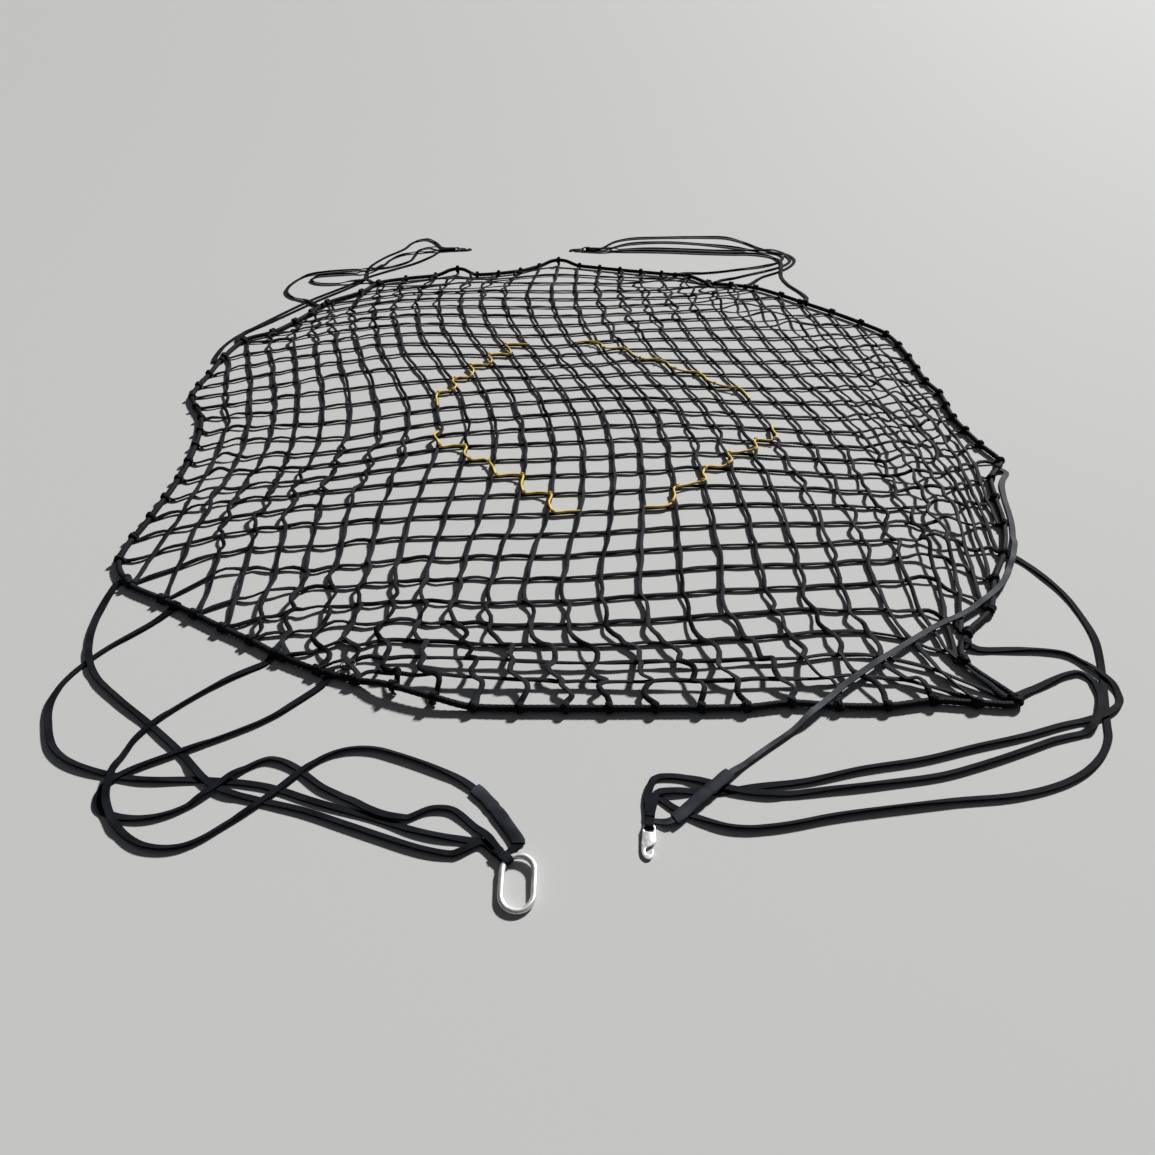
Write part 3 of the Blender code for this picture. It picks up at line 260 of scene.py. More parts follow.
# How the slack net lies
RIM_WEIGHT, PIN_WEIGHT = 200.0, 3.0    # how firmly a crossing keeps to the border and to a pin
LOWEST = 0.0003          # no skin reaches lower
SHORTEST_STEP = 0.012    # of a strap's line, where it bends, and at its end
SHORTEST_END = 0.02
FOLLOW = 0.004           # how finely a cord's line is followed
CORD_STEPS, MARKER_STEPS = (0.034, 0.42), (0.02, 0.35)    # longest step and most turn in radians in a skin
BRAID_WIDE = 0.0185      # the braid lies wide and flat
BRAID_HIGH = 0.0105
SLACK_WIDE = 0.25        # how much wider it is where the columns bunch up, nearer the viewer than SLACK_FROM
SLACK_FROM = -1.78
SLACK_EASE = 0.04
PASS_WIDE, PASS_HIGH = 0.12, -0.1    # and how much wider and higher where another cord passes through it
PASS_REACH = 0.012
PRESS_REACH, PRESS_EASE = 0.055, 0.03    # how near to a strap a cord is pressed under it, and how gently
TAUT_SPARE = 0.0008      # least spare cord in one mesh
MOST_BOW = 0.055
CORD_TALL = (0.040, 0.015)    # a cord eases off above the first height, and rises at most the second past it
ROPE_TALL = (0.034, 0.008)    # and so do the border rope's arches
ROPE_ROUND = 0.0130      # the border rope's radius
ROPE_LIFT = 0.0030       # its lashings hold it this far off the ground
ROPE_TWIST = 0.075       # one turn of its strands
TIE_RADIUS = 0.0038      # lashing cord
TIE_TURNS = 2.5
TIE_SPREAD, TIE_JOLT = 0.011, 0.006    # along the rope: half a lashing's length, and how far it may be off
COLUMN, ROW = 0, 1       # columns run away from the viewer
# The shares of a full bow and of a full lean that each kind of cord takes (the net was pulled out sideways),
# its centre's height over the ground at a crossing and between crossings, and how far its end is shifted
# along the border rope where both kinds end together
LIES = {COLUMN: (1.0, 1.0, 0.0095, 0.002, 0.009), ROW: (0.6, 0.35, 0.001, 0.0025, -0.009)}

# Marker cords: the staircases of crossings that each follows
MARKER_WIDE = 0.0120
MARKER_HIGH, MARKER_RISE = 0.9, 0.36    # as shares of its width: its height, and how far it lies over a cord
KNOT_RADIUS, KNOT_CORD = 0.62, 0.28     # and its knots' coil, and half the cord that they are tied with
STAIRS = [[(across * (6 - step // 2), away * (1 + (step + 1) // 2)) for step in range(11)]
          for across in (-1, 1) for away in (1, -1)]

# Legs
SEWN_LONG = 0.22         # the doubled, sewn start of a strap
SEWN_EASE = 0.012
GATHER_LONG = 0.13       # the run over which a strap's end gathers to its eye
GATHER_SHARE = 0.55      # of its place across the eye
NARROW_LONG = 0.05       # the run over which it is drawn in there
EDGE_ROLL = 0.75         # how far a free strap leans up towards its edge, away from the viewer, in radians
EDGE_CLEAR = (0.030, 0.060)    # nearer to another piece than this it lies flat, and past this it leans
SAME_RUN = 0.2           # parts of one strap nearer than this along it aren't other pieces
END_FLAT, END_EASE = 0.10, 0.12    # from either end: where it lies flat, and the run over which that ends
TUBE_FLAT = 0.06         # and so by a sleeve's ends and the net's
BAND_WIDE, BAND_THICK, BAND_OFF = 0.028, 0.0045, 0.0035    # by which a strap holds the rope, off its surface
EYE_WALL = 0.003
EYE_GAP = 0.0008         # between the eye and the bar in it
EYE_LAP, EYE_SEWN = 0.7, 0.62    # shares of the eye's length where it runs straight, and where it is sewn
TIE_AHEAD = 0.014        # the eye's tie and the sewn-in strap ends, ahead of where the straps meet it
SOFT_CREASE, PLATE_CREASE = 50, 40    # degrees past which an edge shows as sharp

# Finishes: unfaded colour, pale colour (of faded patches and of the painted highlight on faces that look up),
# roughness, pattern with its pitch, strands around it and depth, sheen, shine, metal, and the fineness of the
# fading patches
Finish = namedtuple("Finish", "deep pale roughness pattern pitch strands depth sheen shine metallic fading",
                    defaults=(None, 0.0, 0, 0.0, 0.0, 0.5, 0.0, 8.0))
FINISHES = {
    "net_cord": Finish((0.0030, 0.0034, 0.0055), (0.032, 0.035, 0.044), 0.62,
                       "Braid", 0.011, 4, 0.0012, 0.01, 0.09),
    "rope": Finish((0.0035, 0.0037, 0.0060), (0.028, 0.031, 0.039), 0.62,
                   "Braid", 0.014, 6, 0.0014, 0.01, 0.09),
    "marker_cord": Finish((0.90, 0.55, 0.015), (0.95, 0.72, 0.08), 0.5, "Braid", 0.009, 4, 0.0008),
    "webbing": Finish((0.0040, 0.0042, 0.0065), (0.022, 0.025, 0.034), 0.70,
                      "Weave", 0.0042, 28, 0.0008, 0.01, 0.07),
    "worn_webbing": Finish((0.02, 0.022, 0.028), (0.15, 0.16, 0.18), 0.65,
                           "Weave", 0.0042, 28, 0.0008, 0.02, 0.15),
    "grey_webbing": Finish((0.008, 0.010, 0.016), (0.07, 0.08, 0.10), 0.6,
                           "Weave", 0.003, 60, 0.0006, 0.02, 0.12),
    "bright_steel": Finish((0.72, 0.73, 0.71), (0.86, 0.87, 0.84), 0.38, metallic=0.7, fading=60),
    "dark_steel": Finish((0.045, 0.046, 0.05), (0.12, 0.12, 0.125), 0.38, metallic=1.0, fading=60),
}


def unit(vectors):
    """The same vectors at a length of one."""
    return vectors / np.maximum(np.linalg.norm(vectors, axis=-1, keepdims=True), 1e-9)


def leftward(vectors):
    """Plan vectors turned a quarter turn to the left: (x, y) becomes (-y, x)."""
    return np.stack([-vectors[..., 1], vectors[..., 0]], axis=-1)


def level(vectors):
    """Plan vectors with a height of nought."""
    return np.concatenate([vectors, np.zeros_like(vectors[..., :1])], axis=-1)


def round_heading(ring):
    """Heading of a closed ring at each point: from the point before it to the point after."""
    return unit(np.roll(ring, -1, axis=0) - np.roll(ring, 1, axis=0))


def run_of(line):
    """Distance along a line at each of its points."""
    return np.concatenate([[0], np.cumsum(np.linalg.norm(np.diff(line, axis=0), axis=1))])


def sample(line, run, at):
    """The points of a line at the distances at, where run is the distance along it."""
    return np.stack([np.interp(at, run, column) for column in line.T], axis=1)


def away_from(points, others):
    """Plan distances from each of points to each of others."""
    return np.linalg.norm(points[:, None, :2] - others[None, :, :2], axis=2)


def cubic(s, first, last, leaving, arriving):
    """(2s^3 - 3s^2 + 1) first + (s^3 - 2s^2 + s) leaving + (3s^2 - 2s^3) last + (s^3 - s^2) arriving."""
    return ((2 * s**3 - 3 * s**2 + 1) * first + (s**3 - 2 * s**2 + s) * leaving
            + (3 * s**2 - 2 * s**3) * last + (s**3 - s**2) * arriving)


def rim_keys():
    """Mesh coordinates (u, v) of the border's crossings, going round from the left side's far end."""
    corners = [(-HALF, -SIDE), (-HALF, SIDE), (-SIDE, HALF), (SIDE, HALF),
               (HALF, SIDE), (HALF, -SIDE), (SIDE, -HALF), (-SIDE, -HALF)]
    keys = []
    for first, last in zip(corners, corners[1:] + corners[:1]):
        count = max(abs(b - a) for a, b in zip(first, last))
        keys += [tuple(a + k * (b - a) // count for a, b in zip(first, last)) for k in range(count)]
    return keys


def border_line(at):
    """Centre line of the border rope: the periodic cubic through BORDER, with finite-difference slopes."""
    table = np.array([(*row, LIFTS.get(row[0], 0.0)) for row in BORDER])
    knots, values = table[:, 0], table[:, 1:]
    t = np.concatenate([knots[-2:] - ROUND, knots, knots[:3] + ROUND])
    p = np.concatenate([values[-2:], values, values[:3]])
    slope = (p[2:] - p[:-2]) / (t[2:] - t[:-2])[:, None]
    at = np.mod(np.asarray(at, float), ROUND)
    i = np.searchsorted(t, at, side="right") - 1
    gap = (t[i + 1] - t[i])[:, None]
    line = cubic((at - t[i])[:, None] / gap, p[i], p[i + 1], slope[i - 1] * gap, slope[i] * gap)
    line[:, 2] = np.maximum(line[:, 2], 0) + FLAT
    return line


def outward():
    """Plan normals of the border rope at its crossings, out of the net and mitred for its turns."""
    line = border_line(np.arange(ROUND))[:, :2]
    both = -leftward(unit(line - np.roll(line, 1, axis=0)) + unit(np.roll(line, -1, axis=0) - line))
    length = np.linalg.norm(both, axis=1)[:, None]
    return both / length / np.maximum(0.5 * length, 0.6)


def ground_height(xy):
    """Height of a resting cord's centre: half a cord, and a long bell-shaped rise at each ruffle."""
    x, y, along, across, heading, height = np.array(RUFFLES).T[:, None, :]
    turn = np.radians(heading)
    dx, dy = xy[:, 0, None] - x, xy[:, 1, None] - y
    far = dx * np.cos(turn) + dy * np.sin(turn)
    off = dy * np.cos(turn) - dx * np.sin(turn)
    rise = height * np.exp(-((far / along) ** 2) - (off / across) ** 2)
    return rise.sum(axis=1) + 0.5 * CORD_HIGH + APART


def net_points():
    """Plan place of every crossing (u, v): least squares of second differences, the border and the pins."""
    keys = [(u, v) for u in range(-HALF, HALF + 1) for v in range(-HALF, HALF + 1)
            if abs(u) + abs(v) <= REACH]
    number = {key: i for i, key in enumerate(keys)}
    rows, wants = [], []

    def rule(terms, target, weight):
        row = np.zeros(len(keys))
        for key, factor in terms:
            row[number[key]] += weight * factor
        rows.append(row)
        wants.append(weight * np.asarray(target, float))

    for u, v in keys:
        for du, dv in ((1, 0), (0, 1)):
            near, far = (u - du, v - dv), (u + du, v + dv)
            if near in number and far in number:
                rule([(near, 1), ((u, v), -2), (far, 1)], (0, 0), 1.0)
    rim = border_line(np.arange(ROUND))[:, :2] - outward() * (FLAT + APART + 0.5 * CORD_WIDE)
    for key, spot in zip(rim_keys(), rim):
        rule([(key, 1)], spot, RIM_WEIGHT)
    for u, v, x, y in PINS:
        rule([((u, v), 1)], (x, y), PIN_WEIGHT)
    grid = np.array(rows)
    return dict(zip(keys, np.linalg.solve(grid.T @ grid, grid.T @ np.array(wants))))


def ease_through(points, spacing):
    """A smooth line through points: cubics with finite-difference slopes, sampled evenly."""
    points = np.array(points, float)
    knots = run_of(points)
    slope = np.empty_like(points)
    slope[1:-1] = (points[2:] - points[:-2]) / (knots[2:] - knots[:-2])[:, None]
    slope[0] = (points[1] - points[0]) / knots[1]
    slope[-1] = (points[-1] - points[-2]) / (knots[-1] - knots[-2])
    at = np.linspace(0, knots[-1], int(knots[-1] / spacing) + 2)
    i = np.clip(np.searchsorted(knots, at, side="right") - 1, 0, len(points) - 2)
    gap = (knots[i + 1] - knots[i])[:, None]
    return cubic((at - knots[i])[:, None] / gap, points[i], points[i + 1], slope[i] * gap, slope[i + 1] * gap)


def thin_out(line):
    """Keeps a bend's points close together and a straight run's far apart."""
    keep = [0]
    heading = np.unwrap(np.arctan2(*np.diff(line, axis=0).T[::-1]))
    for i in range(1, len(line) - 1):
        far = np.linalg.norm(line[i] - line[keep[-1]])
        turned = abs(heading[i] - heading[keep[-1]])
        if far > LONGEST_STEP or (turned > MOST_TURN and far > SHORTEST_STEP):
            keep.append(i)
    if np.linalg.norm(line[-1] - line[keep[-1]]) < SHORTEST_END and len(keep) > 2:
        keep.pop()
    return line[keep + [len(line) - 1]]


def rope_side(step):
    """A point on the border rope's outer flat, its outward direction and its height."""
    line = border_line(np.arange(ROUND))
    i, share = int(step) % ROUND, step - int(step)
    j = (i + 1) % ROUND
    edge = line[:, :2] + outward() * FLAT
    normal = -leftward(unit(edge[j] - edge[i]))
    height = (1 - share) * line[i, 2] + share * line[j, 2]
    return (1 - share) * edge[i] + share * edge[j] + normal * APART, normal, height


def leg_frame(leg):
    """A leg's fitting point, the direction ahead and the direction to its left."""
    x, y, heading = LEGS[leg]
    ahead = np.array([np.cos(np.radians(heading)), np.sin(np.radians(heading))])
    return np.array([x, y]), ahead, leftward(ahead)


def lay_straps():
    """Each strap's places and heights by its name, laid in turn in long low humps over what lies below.

    What lies below is kept as rows of x, y, height of the middle, half width and half thickness. A strap's
    height at a point is the greatest, over the whole strap, of the height needed less STEEPEST times the
    distance.
    """
    below = np.empty((0, 5))
    rope = border_line(np.linspace(0, ROUND, 1400))
    rope_rows = np.column_stack([rope, np.full(len(rope), 0.5 * ROPE), np.full(len(rope), FLAT)])
    laid = {}
    for name, leg, step, lateral, route in STRAPS:
        start, normal, rope_height = rope_side(step)
        origin, ahead, left = leg_frame(leg)
        end = origin + lateral * left - APART * ahead
        route = [start, start + LEAD_OFF * normal, *route, end - LEAD_IN * ahead, end]
        line = thin_out(ease_through(route, 0.005))
        run = run_of(line)
        at = np.linspace(0, run[-1], int(run[-1] / 0.006) + 2)
        fine = sample(line, run, at)
        first, last = SLEEVES.get(name, (0, 0))
        in_sleeve = (at > first * run[-1] - SLEEVE_REACH) & (at < last * run[-1] + SLEEVE_REACH)
        half_wide = 0.5 * np.where(in_sleeve, SLEEVE_WIDE, STRAP_WIDE)
        half_thick = 0.5 * STRAP_THICK + np.where(in_sleeve, SLEEVE_WALL + SLEEVE_GAP, 0)
        need = half_thick.copy()
        over_net = OVER_NET.get(name)
        rows = np.vstack([below, rope_rows]) if over_net else below
        if len(rows):
            near = away_from(fine, rows) < half_wide[:, None] + rows[None, :, 3] + BESIDE
            if over_net:
                near[at < OFF_ROPE, len(below):] = False
            tops = np.where(near, rows[None, :, 2] + rows[None, :, 4], 0).max(axis=1)
            need = np.where(tops > 0, tops + half_thick + APART, need)
        if over_net:
            crossing = (at > over_net[0]) & (at < over_net[1])
            tall = ground_height(fine) + 0.5 * CORD_HIGH + half_thick + OVER_CORDS
            need = np.where(crossing, np.maximum(need, tall), need)
        high = np.array([need[(at >= before) & (at <= after)].max()
                         for before, after in zip([run[0], *run[:-1]], [*run[1:], run[-1]])])
        high[0] = max(high[0], rope_height)
        high = (high[None, :] - STEEPEST * np.abs(run[:, None] - run[None, :])).max(axis=1)
        laid[name] = (line, high)
        rows = np.column_stack([fine, np.interp(at, run, high), half_wide, half_thick])
        below = np.vstack([below, rows])
    return laid


class Skein:
    """Gathers grids of points into one mesh. Each face corner keeps its place in metres along and around."""

    def __init__(self, grids=(), closed=False):
        self.points, self.corners, self.sizes, self.places = [], [], [], []
        self.count = 0
        for grid in grids:
            self.add(grid, closed)

    def add(self, grid, closed=False):
        """Joins each ring of a (rings, sides, 3) grid to the next, and fans a cap over each open end."""
        rings, sides = grid.shape[:2]
        grid = np.concatenate([grid[:, :, :2], np.maximum(grid[:, :, 2:], LOWEST)], axis=2)
        middle = grid.mean(axis=1)
        run = run_of(np.vstack([middle, middle[:1]]) if closed else middle)
        around = np.linspace(0, 1, sides + 1)
        i, a = np.arange(rings if closed else rings - 1)[:, None], np.arange(sides)[None, :]
        j, b = (i + 1) % rings, (a + 1) % sides
        quads = np.stack([i * sides + a, i * sides + b, j * sides + b, j * sides + a], axis=-1).reshape(-1, 4)
        places = [(run[i + far], around[a + side]) for far, side in ((0, 0), (0, 1), (1, 1), (1, 0))]
        places = np.stack([np.stack(np.broadcast_arrays(*pair), axis=-1) for pair in places], axis=2)
        flat = np.vstack([grid.reshape(-1, 3), middle[:1], middle[-1:]])
        first, second, third, fourth = flat[quads].transpose(1, 0, 2)
        volume = np.sum(np.cross(first, second) * third) + np.sum(np.cross(first, third) * fourth)
        turned = volume < 0
        self.add_faces(quads, places, turned)
        if closed:
            flat = flat[:-2]
        else:
            ring, after, last = a[0], b[0], (rings - 1) * sides
            for tip, rim, where in ((0, (after, ring), run[0]), (1, (last + ring, last + after), run[-1])):
                fan = np.stack([np.full(sides, rings * sides + tip), *rim], axis=1)
                self.add_faces(fan, np.tile([where, 0.5], (3 * sides, 1)), turned)
        self.points.append(flat)
        self.count += len(flat)

    def add_faces(self, faces, places, turned):
        """Adds faces of one size with their corners' places, the other way round if turned."""
        size = faces.shape[1]
        places = places.reshape(-1, size, 2)
        if turned:
            faces, places = faces[:, ::-1], places[:, ::-1]
        self.corners.append((faces + self.count).reshape(-1))
        self.sizes.append(np.full(len(faces), size))
        self.places.append(places.reshape(-1, 2))

    def make(self, name, material, slot=None, replaces=()):
        """The gathered mesh as an object at the origin that rides with the frame."""
        corners, sizes = np.concatenate(self.corners), np.concatenate(self.sizes)
        mesh = bpy.data.meshes.new(name)
        mesh.vertices.add(self.count)
        mesh.vertices.foreach_set("co", (np.concatenate(self.points) - MIDDLE).reshape(-1))
        mesh.loops.add(len(corners))
        mesh.loops.foreach_set("vertex_index", corners)
        mesh.polygons.add(len(sizes))
        mesh.polygons.foreach_set("loop_start", np.cumsum(sizes) - sizes)
        mesh.uv_layers.new(name="UVMap").data.foreach_set("uv", np.concatenate(self.places).reshape(-1))
        mesh.update(calc_edges=True)
        mesh.validate()
        return settle(name, mesh, material, SOFT_CREASE, slot, replaces)


def settle(name, mesh, material, crease, slot=None, replaces=()):
    """A piece of a mesh, smooth up to the crease, that rides with the frame and hides the parts it replaces.
    """
    mesh.polygons.foreach_set("use_smooth", np.ones(len(mesh.polygons), bool))
    mesh.set_sharp_from_angle(angle=np.radians(crease))
    mesh.materials.append(material)
    made = put_down(name, mesh)
    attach(made, "root")
    if replaces:
        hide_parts(*replaces)
    return made


def put_down(name, content):
    """An object of a mesh, light or camera, in the scene."""
    made = bpy.data.objects.new(name, content)
    bpy.context.scene.collection.objects.link(made)
    return made


def carry(line, profile, closed=False, wide=1.0, high=1.0, roll=0.0, side=None):
    """A profile, or one for each point, carried along a line. Ring point = line + a S + b U, where S is level
    and square to the line (or the given side made square to it), U is square to both, (a, b) is the profile
    times wide and high, and both are turned by roll."""
    ahead = round_heading(line) if closed else unit(np.gradient(line, axis=0))
    if side is None:
        side = level(leftward(ahead))
    else:
        side = side - ahead * np.sum(side * ahead, axis=1, keepdims=True)
    side = unit(side)
    up = np.cross(ahead, side)
    roll, wide, high = (np.reshape(value, (-1, 1)) for value in (roll, wide, high))
    turned_side = np.cos(roll) * side + np.sin(roll) * up
    turned_up = np.cos(roll) * up - np.sin(roll) * side
    return (line[:, None] + (profile[..., 0] * wide)[..., None] * turned_side[:, None]
            + (profile[..., 1] * high)[..., None] * turned_up[:, None])


def oval(wide, high, sides, square=2.0, start=0.5):
    """A superellipse: |x / a|^n + |y / b|^n = 1 with n = square, as sides points that begin at start."""
    angle = 2 * np.pi * (np.arange(sides) + start) / sides
    curve = np.stack([np.cos(angle), np.sin(angle)], axis=1)
    return 0.5 * np.array([wide, high]) * np.sign(curve) * np.abs(curve) ** (2 / square)


def even_turns(line, longest, turn):
    """The line again, with steps of at most longest, and shorter where it bends: at most turn radians each.

    The steps are even in the integral along the line of the greater of 1 / longest and bend / turn.
    """
    run = run_of(line)
    ahead = unit(np.gradient(line, axis=0))
    bend = np.linalg.norm(np.gradient(ahead, axis=0), axis=1) / np.maximum(np.gradient(run), 1e-6)
    density = np.maximum(1 / longest, bend / turn)
    need = np.concatenate([[0], np.cumsum(0.5 * (density[1:] + density[:-1]) * np.diff(run))])
    at = np.interp(np.linspace(0, need[-1], int(np.ceil(need[-1])) + 2), need, run)
    return sample(line, run, at)


def smooth(values, reach):
    """Moving average over 2 reach + 1 neighbours, with the ends held."""
    padded = np.concatenate([np.repeat(values[:1], reach), values, np.repeat(values[-1:], reach)])
    return np.convolve(padded, np.ones(2 * reach + 1) / (2 * reach + 1), mode="valid")


def drift(run, seed, reach, strength):
    """A slow random wander along a run: random values every reach metres, joined by cosines."""
    values = np.random.default_rng(seed).uniform(-strength, strength, int(run[-1] / reach) + 3)
    place = run / reach
    i = place.astype(int)
    s = 0.5 - 0.5 * np.cos(np.pi * (place - i))
    return values[i] * (1 - s) + values[i + 1] * s


def eased(tall, start, over):
    """Heights that ease off: above start, z = start + over (1 - exp((start - tall) / over))."""
    return np.where(tall > start, start + over * (1 - np.exp((start - tall) / over)), tall)


def upright(normal, turn):
    """Directions round an upright circle that faces along the rope: cos t N + sin t Z."""
    return np.outer(np.cos(turn), level(normal)) + np.outer(np.sin(turn), UP)


def slack_fields():
    """For each cord of each kind and each mesh: the side it bows to, its lean off the ground, its snaking."""
    rng = np.random.default_rng(11)
    size = (2, 2 * HALF + 1, 2 * HALF + 1)
    rock = np.where(np.arange(-HALF, HALF + 1) % 2 == 0, 1.0, -1.0) * np.ones(size)
    side = np.where(rng.random(size) < 0.25, -rock, rock)
    lean = rng.uniform(0.15, 0.85, size)
    snake = rng.uniform(-0.5, 0.5, size)
    return side * rng.uniform(0.7, 1.0, size), lean, snake


def rope_line(at):
    """The border rope's centre line on its lashings."""
    line = border_line(at)
    line[:, 2] = eased(line[:, 2] + ROPE_LIFT, *ROPE_TALL)
    return line


def over_the_rope(step, shift):
    """Four points that take a cord's end over the border rope and tuck it underneath."""
    normal = unit(outward())[step]
    middle = rope_line(np.arange(ROUND))[step] + shift * level(leftward(normal))
    top = middle + (ROPE_ROUND + 0.4 * CORD_HIGH) * UP
    out = level(normal)
    under = middle + 0.4 * ROPE_ROUND * out
    under[2] = 0.004
    return [top - 0.5 * ROPE_ROUND * out, top + 0.5 * ROPE_ROUND * out,
            middle + (ROPE_ROUND + 0.3 * CORD_HIGH) * out, under]


def cord_line(keys, net, kind, fields, rim):
    """One cord's centre line and crossings: bow = 2/pi sqrt(gap spare), part of it sideways and part up."""
    bow_share, lean_share, crossing, between, shift = LIES[kind]
    spot = np.array([net[key] for key in keys])
    step = np.diff(spot, axis=0)
    gap = np.linalg.norm(step, axis=1)[:, None]
    bow = np.minimum(2 / np.pi * np.sqrt(gap * np.maximum(MESH - gap, TAUT_SPARE)), MOST_BOW) * bow_share
    line_number, mesh_number = np.array(keys[:-1]).T[::1 if kind == COLUMN else -1] + HALF
    side, lean, snake = (field[kind, line_number, mesh_number][:, None] for field in fields)
    share = np.array([0.0, 0.25, 0.5, 0.75])
    single, double = np.sin(np.pi * share), np.sin(2 * np.pi * share)
    sway = bow * np.cos(lean) * side * ((1 - np.abs(snake)) * single + snake * double)
    plan = spot[:-1, None] + share[:, None] * step[:, None]
    plan = plan + sway[:, :, None] * (leftward(step) / gap)[:, None]
    height = crossing + (between - crossing) * single**2 + bow * np.sin(lean * lean_share) * single
    plan = np.vstack([plan.reshape(-1, 2), spot[-1:]])
    tall = ground_height(plan) + np.append(height.reshape(-1), crossing)
    line = np.column_stack([plan, eased(tall, *CORD_TALL)])
    shift *= min(abs(c) for c in keys[0]) > SIDE
    start, end = (over_the_rope(rim[keys[at]], shift) for at in (0, -1))
    return even_turns(ease_through(np.vstack([start[::-1], line, end]), FOLLOW), *CORD_STEPS), spot


def net_cords():
    """Each cord of the net, by its kind and number: its centre line and its crossings."""
    net, fields = net_points(), slack_fields()
    rim = {key: step for step, key in enumerate(rim_keys())}
    cords = {}
    for kind in (COLUMN, ROW):
        for number in range(1 - HALF, HALF):
            ends = min(HALF, REACH - abs(number))
            keys = [(number, at) if kind == COLUMN else (at, number) for at in range(-ends, ends + 1)]
            cords[kind, number] = cord_line(keys, net, kind, fields, rim)
    return cords


def press_under(line, strap):
    """Lowers a line where a strap's centre line lies over it."""
    away = away_from(line, strap)
    top = strap[away.argmin(axis=1), 2] - 0.5 * STRAP_THICK - 0.5 * CORD_HIGH
    near = np.clip((PRESS_REACH - away.min(axis=1)) / PRESS_EASE, 0, 1)
    lowered = line.copy()
    lowered[:, 2] += near * np.minimum(top - line[:, 2], 0)
    return lowered


def cord_grid(line, spot, seed, wide, slack):
    """A braided cord's skin: wider where another cord passes through it, and where a column lies slack."""
    run = run_of(line)
    swell = np.exp(-((away_from(line, spot).min(axis=1) / PASS_REACH) ** 2))
    loose = SLACK_WIDE * slack / (1 + np.exp((line[:, 1] - SLACK_FROM) / SLACK_EASE))
    return carry(line, oval(wide, BRAID_HIGH, 8, 2.6), wide=1 + PASS_WIDE * swell + loose,
                 high=1 + PASS_HIGH * swell, roll=drift(run, seed, 0.11, 0.7))


def rope_grid(round_radius):
    """The border rope: radius = R (0.90 + 0.12 |cos 1.5 (angle - twist)|), three strands turning along it."""
    line = rope_line(np.linspace(0, ROUND, 1500, endpoint=False))
    angle = 2 * np.pi * np.arange(18) / 18
    turn = angle - 2 * np.pi * (run_of(line) / ROPE_TWIST)[:, None]
    radius = round_radius * (0.90 + 0.12 * np.abs(np.cos(1.5 * turn)))
    return carry(line, radius[..., None] * np.stack([np.cos(angle), np.sin(angle)], axis=1), closed=True)


def lashing_grids():
    """A coil round the rope at each crossing: centre + pitch along + r (cos t N + sin t Z), flat below."""
    turn = np.linspace(0.5 * np.pi, (0.5 + 2 * TIE_TURNS) * np.pi, 40)
    spread = np.linspace(-TIE_SPREAD, TIE_SPREAD, 40)
    radius = ROPE_ROUND + TIE_RADIUS + 0.3 * CORD_HIGH * np.exp(-((np.abs(np.sin(turn)) - 1) / 0.3) ** 2)
    rng = np.random.default_rng(5)
    for centre, normal in zip(rope_line(np.arange(ROUND)), unit(outward())):
        out = upright(normal, turn)
        along = spread + rng.uniform(-TIE_JOLT, TIE_JOLT)
        line = centre + np.outer(along, level(leftward(normal))) + radius[:, None] * out
        line[:, 2] = np.maximum(line[:, 2], TIE_RADIUS + 0.0006)
        yield carry(line, oval(2 * TIE_RADIUS, 2 * TIE_RADIUS, 6), side=out)


def marker_grids(cords, wide):
    """Each marker cord: its net cords' lines between its crossings, raised by half of both, and its knots."""
    net = net_points()
    for stair in STAIRS:
        pieces = []
        for (u, v), following in zip(stair, stair[1:]):
            line, _ = cords[(COLUMN, u) if u == following[0] else (ROW, v)]
            first, last = away_from(np.array([net[u, v], net[following]]), line).argmin(axis=1)
            piece = line[first:last + 1] if first < last else line[last:first + 1][::-1]
            pieces.append(piece[1:-1] if len(piece) > 3 else piece)
        tips = [np.append(net[stair[end]], pieces[end][end, 2]) for end in (0, -1)]
        line = np.vstack([tips[0], np.vstack(pieces)[1:-1:2], tips[1]])
        line[:, 2] += 0.5 * CORD_HIGH + MARKER_RISE * wide
        line = even_turns(ease_through(line, FOLLOW), *MARKER_STEPS)
        yield carry(line, oval(wide, MARKER_HIGH * wide, 8), roll=drift(run_of(line), 3, 0.1, 0.6))
        for u, v in stair[1:-1]:
            near = line[away_from(line, net[u, v][None]).argmin()]
            yield knot_grid(near, KNOT_RADIUS * wide, KNOT_CORD * wide, u + 2 * v)


def knot_grid(middle, radius, thick, seed):
    """One and a half turns of cord round a point: middle + r (cos t, sin t) leaning, plus a rise along t."""
    turn = np.linspace(0, 3 * np.pi, 22)
    lean = np.random.default_rng(seed + 50).uniform(-0.5, 0.5, 2)
    out = np.stack([np.cos(turn), lean[0] * np.cos(turn), np.sin(turn)], axis=1)
    line = middle + radius * out + np.outer(np.linspace(-1, 1, 22), [0.2 * radius, radius, lean[1] * radius])
    return carry(line, oval(2 * thick, 2 * thick, 6), side=out)


def webbing_profile(wide, thick):
    """Two plies of webbing seen end on: full edges, a groove between the plies, and slightly hollow faces."""
    half = np.array([(0.47, 0.0), (0.5, 0.30), (0.46, 0.5), (0.22, 0.47),
                     (0.0, 0.45), (-0.22, 0.47), (-0.46, 0.5), (-0.5, 0.30)])
    return np.vstack([half, -half]) * (wide, thick)


